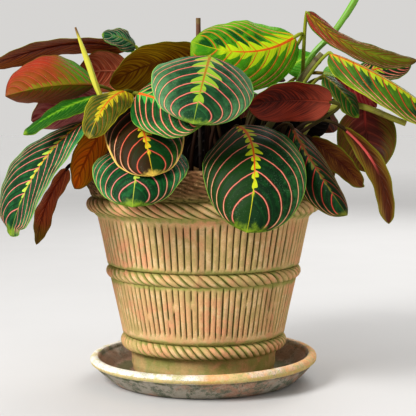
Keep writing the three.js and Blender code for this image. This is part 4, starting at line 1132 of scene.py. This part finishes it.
def make_soil():
    """The fill of the pot with a lumpy top and loose crumbs on it."""
    rng = np.random.default_rng(SEED + 1)
    low, edge = POT_INSIDE_Z, soil_radius(SOIL_Z)
    rows = [(soil_radius(low) - 4, low + SOIL_GAP)]
    rows += [(soil_radius(z), z) for z in (low + 6, 60, 100, 140)]
    rows += [(edge * share, None) for share in np.linspace(1, 0.025, 40)]
    points = []
    for radius, z in rows:
        turns = np.arange(SOIL_COLUMNS) / SOIL_COLUMNS * math.tau
        ring = [(radius * math.cos(q), radius * math.sin(q)) for q in turns]
        points.append([(x, y, soil_top(x, y) if z is None else z) for x, y in ring])
    shape = Shape()
    numbers = shape.vertices(np.array(points))
    shape.quads(numbers, wrap=True)
    shape.fan(numbers[0], (0, 0, low + SOIL_GAP), flip=True)
    shape.fan(numbers[-1], (0, 0, soil_top(0, 0)))
    for _ in range(CRUMBS):
        reach, turn = edge * 0.97 * math.sqrt(rng.random()), rng.uniform(0, math.tau)
        x, y = reach * math.cos(turn), reach * math.sin(turn)
        size = rng.uniform(0.5, 1.9) * np.array([1, rng.uniform(0.6, 1), rng.uniform(0.5, 0.9)])
        spin = rng.uniform(0, math.tau)
        corners = CRUMB_CORNERS * size * rng.uniform(0.75, 1.25, (6, 1))
        along, aside, up = corners.T
        turned = np.stack([along * math.cos(spin) - aside * math.sin(spin),
                           along * math.sin(spin) + aside * math.cos(spin), up], 1)
        centre = (x, y, soil_top(x, y) + size[2] * 0.3)
        made = shape.vertices(turned + centre, 0.0, (rng.random(), 0, 0))
        for face in CRUMB_FACES:
            shape.cap(made[list(face)])
    shape.build("soil", [paint_soil()], "soil", sharp=30)


def spline(points, steps):
    """A smooth curve through points (centripetal Catmull-Rom)."""
    p = [np.asarray(q, float) for q in points]
    p = [2 * p[0] - p[1], *p, 2 * p[-1] - p[-2]]
    knots = np.cumsum([0] + [math.sqrt(np.linalg.norm(b - a)) for a, b in zip(p, p[1:])])
    made = []
    for k in range(1, len(p) - 2):
        near = knots[k - 1:k + 3]
        for t in np.linspace(near[1], near[2], steps, endpoint=k == len(p) - 3):
            q = p[k - 1:k + 3]
            for span in (1, 2):
                q = [between(a, b, near[i], near[i + span], t) for i, (a, b) in enumerate(zip(q, q[1:]))]
            made.append(between(*q, near[1], near[2], t))
    return np.array(made)


def make_stem(name, slot, root, points, radii, paints, swell=None):
    """A stem through points, from where it stands in the soil, with the radius at each point."""
    x, y = root
    curve = spline([(x, y, STALK_FREE_Z), *points], 9)
    path = np.concatenate([[(x, y, SOIL_Z - STALK_DEPTH), (x, y, SOIL_Z + 1)], curve])
    place = np.clip(np.arange(len(path)) - 2, 0, None) / (len(curve) - 1) * (len(radii) - 1)
    shape = Shape()
    numbers = tube(shape, path, np.interp(place, np.arange(len(radii)), radii), 0, 14, swell=swell)
    shape.cap(numbers[-1], len(paints) - 1)
    shape.build(f"stem_{name}", paints, slot)


def rolled(along, angle):
    """A rolled leaf: the radius steps where the outer edge lies over the inner, in a slow spiral."""
    return 1.0 + 0.22 * ((angle / math.tau - along * 0.006) % 1.0 - 0.5)


def ringed(along, angle):
    """A cane swells a little at each old node."""
    node = abs((along * 0.045) % 1.0 - 0.5)
    return 1 + 0.14 * math.exp(-((node / 0.07) ** 2)) + 0.04 * np.sin(3 * angle + along * 0.1)


def make_stage():
    """A pale floor, soft studio light mostly from the upper left, and the camera."""
    mesh = bpy.data.meshes.new("floor")
    corners = ((-1, -1), (1, -1), (1, 1), (-1, 1))
    mesh.from_pydata([(x * FLOOR_REACH, y * FLOOR_REACH, 0) for x, y in corners], [], [(0, 1, 2, 3)])
    add_object("floor", mesh)
    p = Paint("floor")
    distance = p.node("ShaderNodeVectorMath", {0: p.position()}, "Value", operation="LENGTH")
    p.ground = p.mix((200, 199, 198), (255, 255, 255), distance.ramp(0.4, 5))
    p.shade(p.noise(9, 4) * 0.06 + 0.97)
    mesh.materials.append(p.finish(0.7))

    scene = bpy.context.scene
    scene.world = bpy.data.worlds.new("studio")
    scene.world.use_nodes = True
    sky = scene.world.node_tree.nodes["Background"].inputs
    sky["Color"].default_value = SKY
    sky["Strength"].default_value = SKY_STRENGTH
    for name, at, aim, size, power in LAMPS:
        light = bpy.data.lights.new(name, "AREA")
        light.size, light.energy = size, power
        lamp = add_object(name, light)
        lamp.location = at
        lamp.rotation_euler = (Vector(aim) - Vector(at)).to_track_quat("-Z", "Y").to_euler()

    data = bpy.data.cameras.new("camera")
    data.sensor_width, data.lens = CAMERA_SENSOR, CAMERA_LENS
    scene.camera = add_object("camera", data)
    scene.camera.location = CAMERA_AT
    scene.camera.rotation_euler = (math.radians(90 - CAMERA_DOWN), 0, 0)
    scene.view_settings.view_transform = "Standard"
    scene.view_settings.look = "Medium High Contrast"


make_stage()
make_saucer()
make_pot()
make_soil()

TOPS = {name: paint_top(name, look) for name, look in TOP_LOOKS.items()}
UNDERS = {name: paint_under(name, look) for name, look in UNDER_LOOKS.items()}
STALK = paint_stalk()
for row in LEAVES:
    make_leaf(*row)

CUT = paint_cut()
make_stem(
    "new_leaf_left", "new_leaf", (-42, -24),
    ((-64, -44, 200), (-75, -50, 220), (-84, -52, 245), (-92, -54, 268)), (1.7, 1.7, 2, 2.3, 0.7),
    [paint_new_leaf("new_leaf_left", (132, 146, 44), (198, 194, 66), (120, 84, 40))], rolled,
)
make_stem(
    "new_leaf_right", "new_leaf", (46, 8),
    ((66, -6, 215), (83, -12, 251), (98, -15, 267), (114, -19, 292), (124, -22, 314)),
    (2, 2, 2.2, 2.4, 2.6, 0.8),
    [paint_new_leaf("new_leaf_right", (78, 128, 28), (108, 160, 46), (140, 160, 70))], rolled,
)
make_stem(
    "cane_right", "stem_brown", (24, -38), ((44, -37, 190), (72, -35, 230), (88, -37, 250)),
    (2.6, 2.6, 2.9, 2.9), [paint_cane("cane", (96, 90, 40), (58, 34, 18)), CUT], ringed,
)
make_stem(
    "dry_stub_back", "stem_brown", (-2, 4), ((-3, -6, 220), (-4, -10, 279)), (1.6, 1.6, 1.8),
    [paint_cane("dry_stub", (104, 66, 40), (64, 38, 22), shade_towards_soil=True), CUT], ringed,
)
make_stem(
    "cut_stalk_right", "stem_green", (60, -20), ((84, -32, 204), (108, -36, 213), (148, -48, 199)),
    (2, 2.2, 2.4, 2.2), [paint_cane("cut_stalk", (150, 148, 52), (116, 112, 40)), CUT],
)
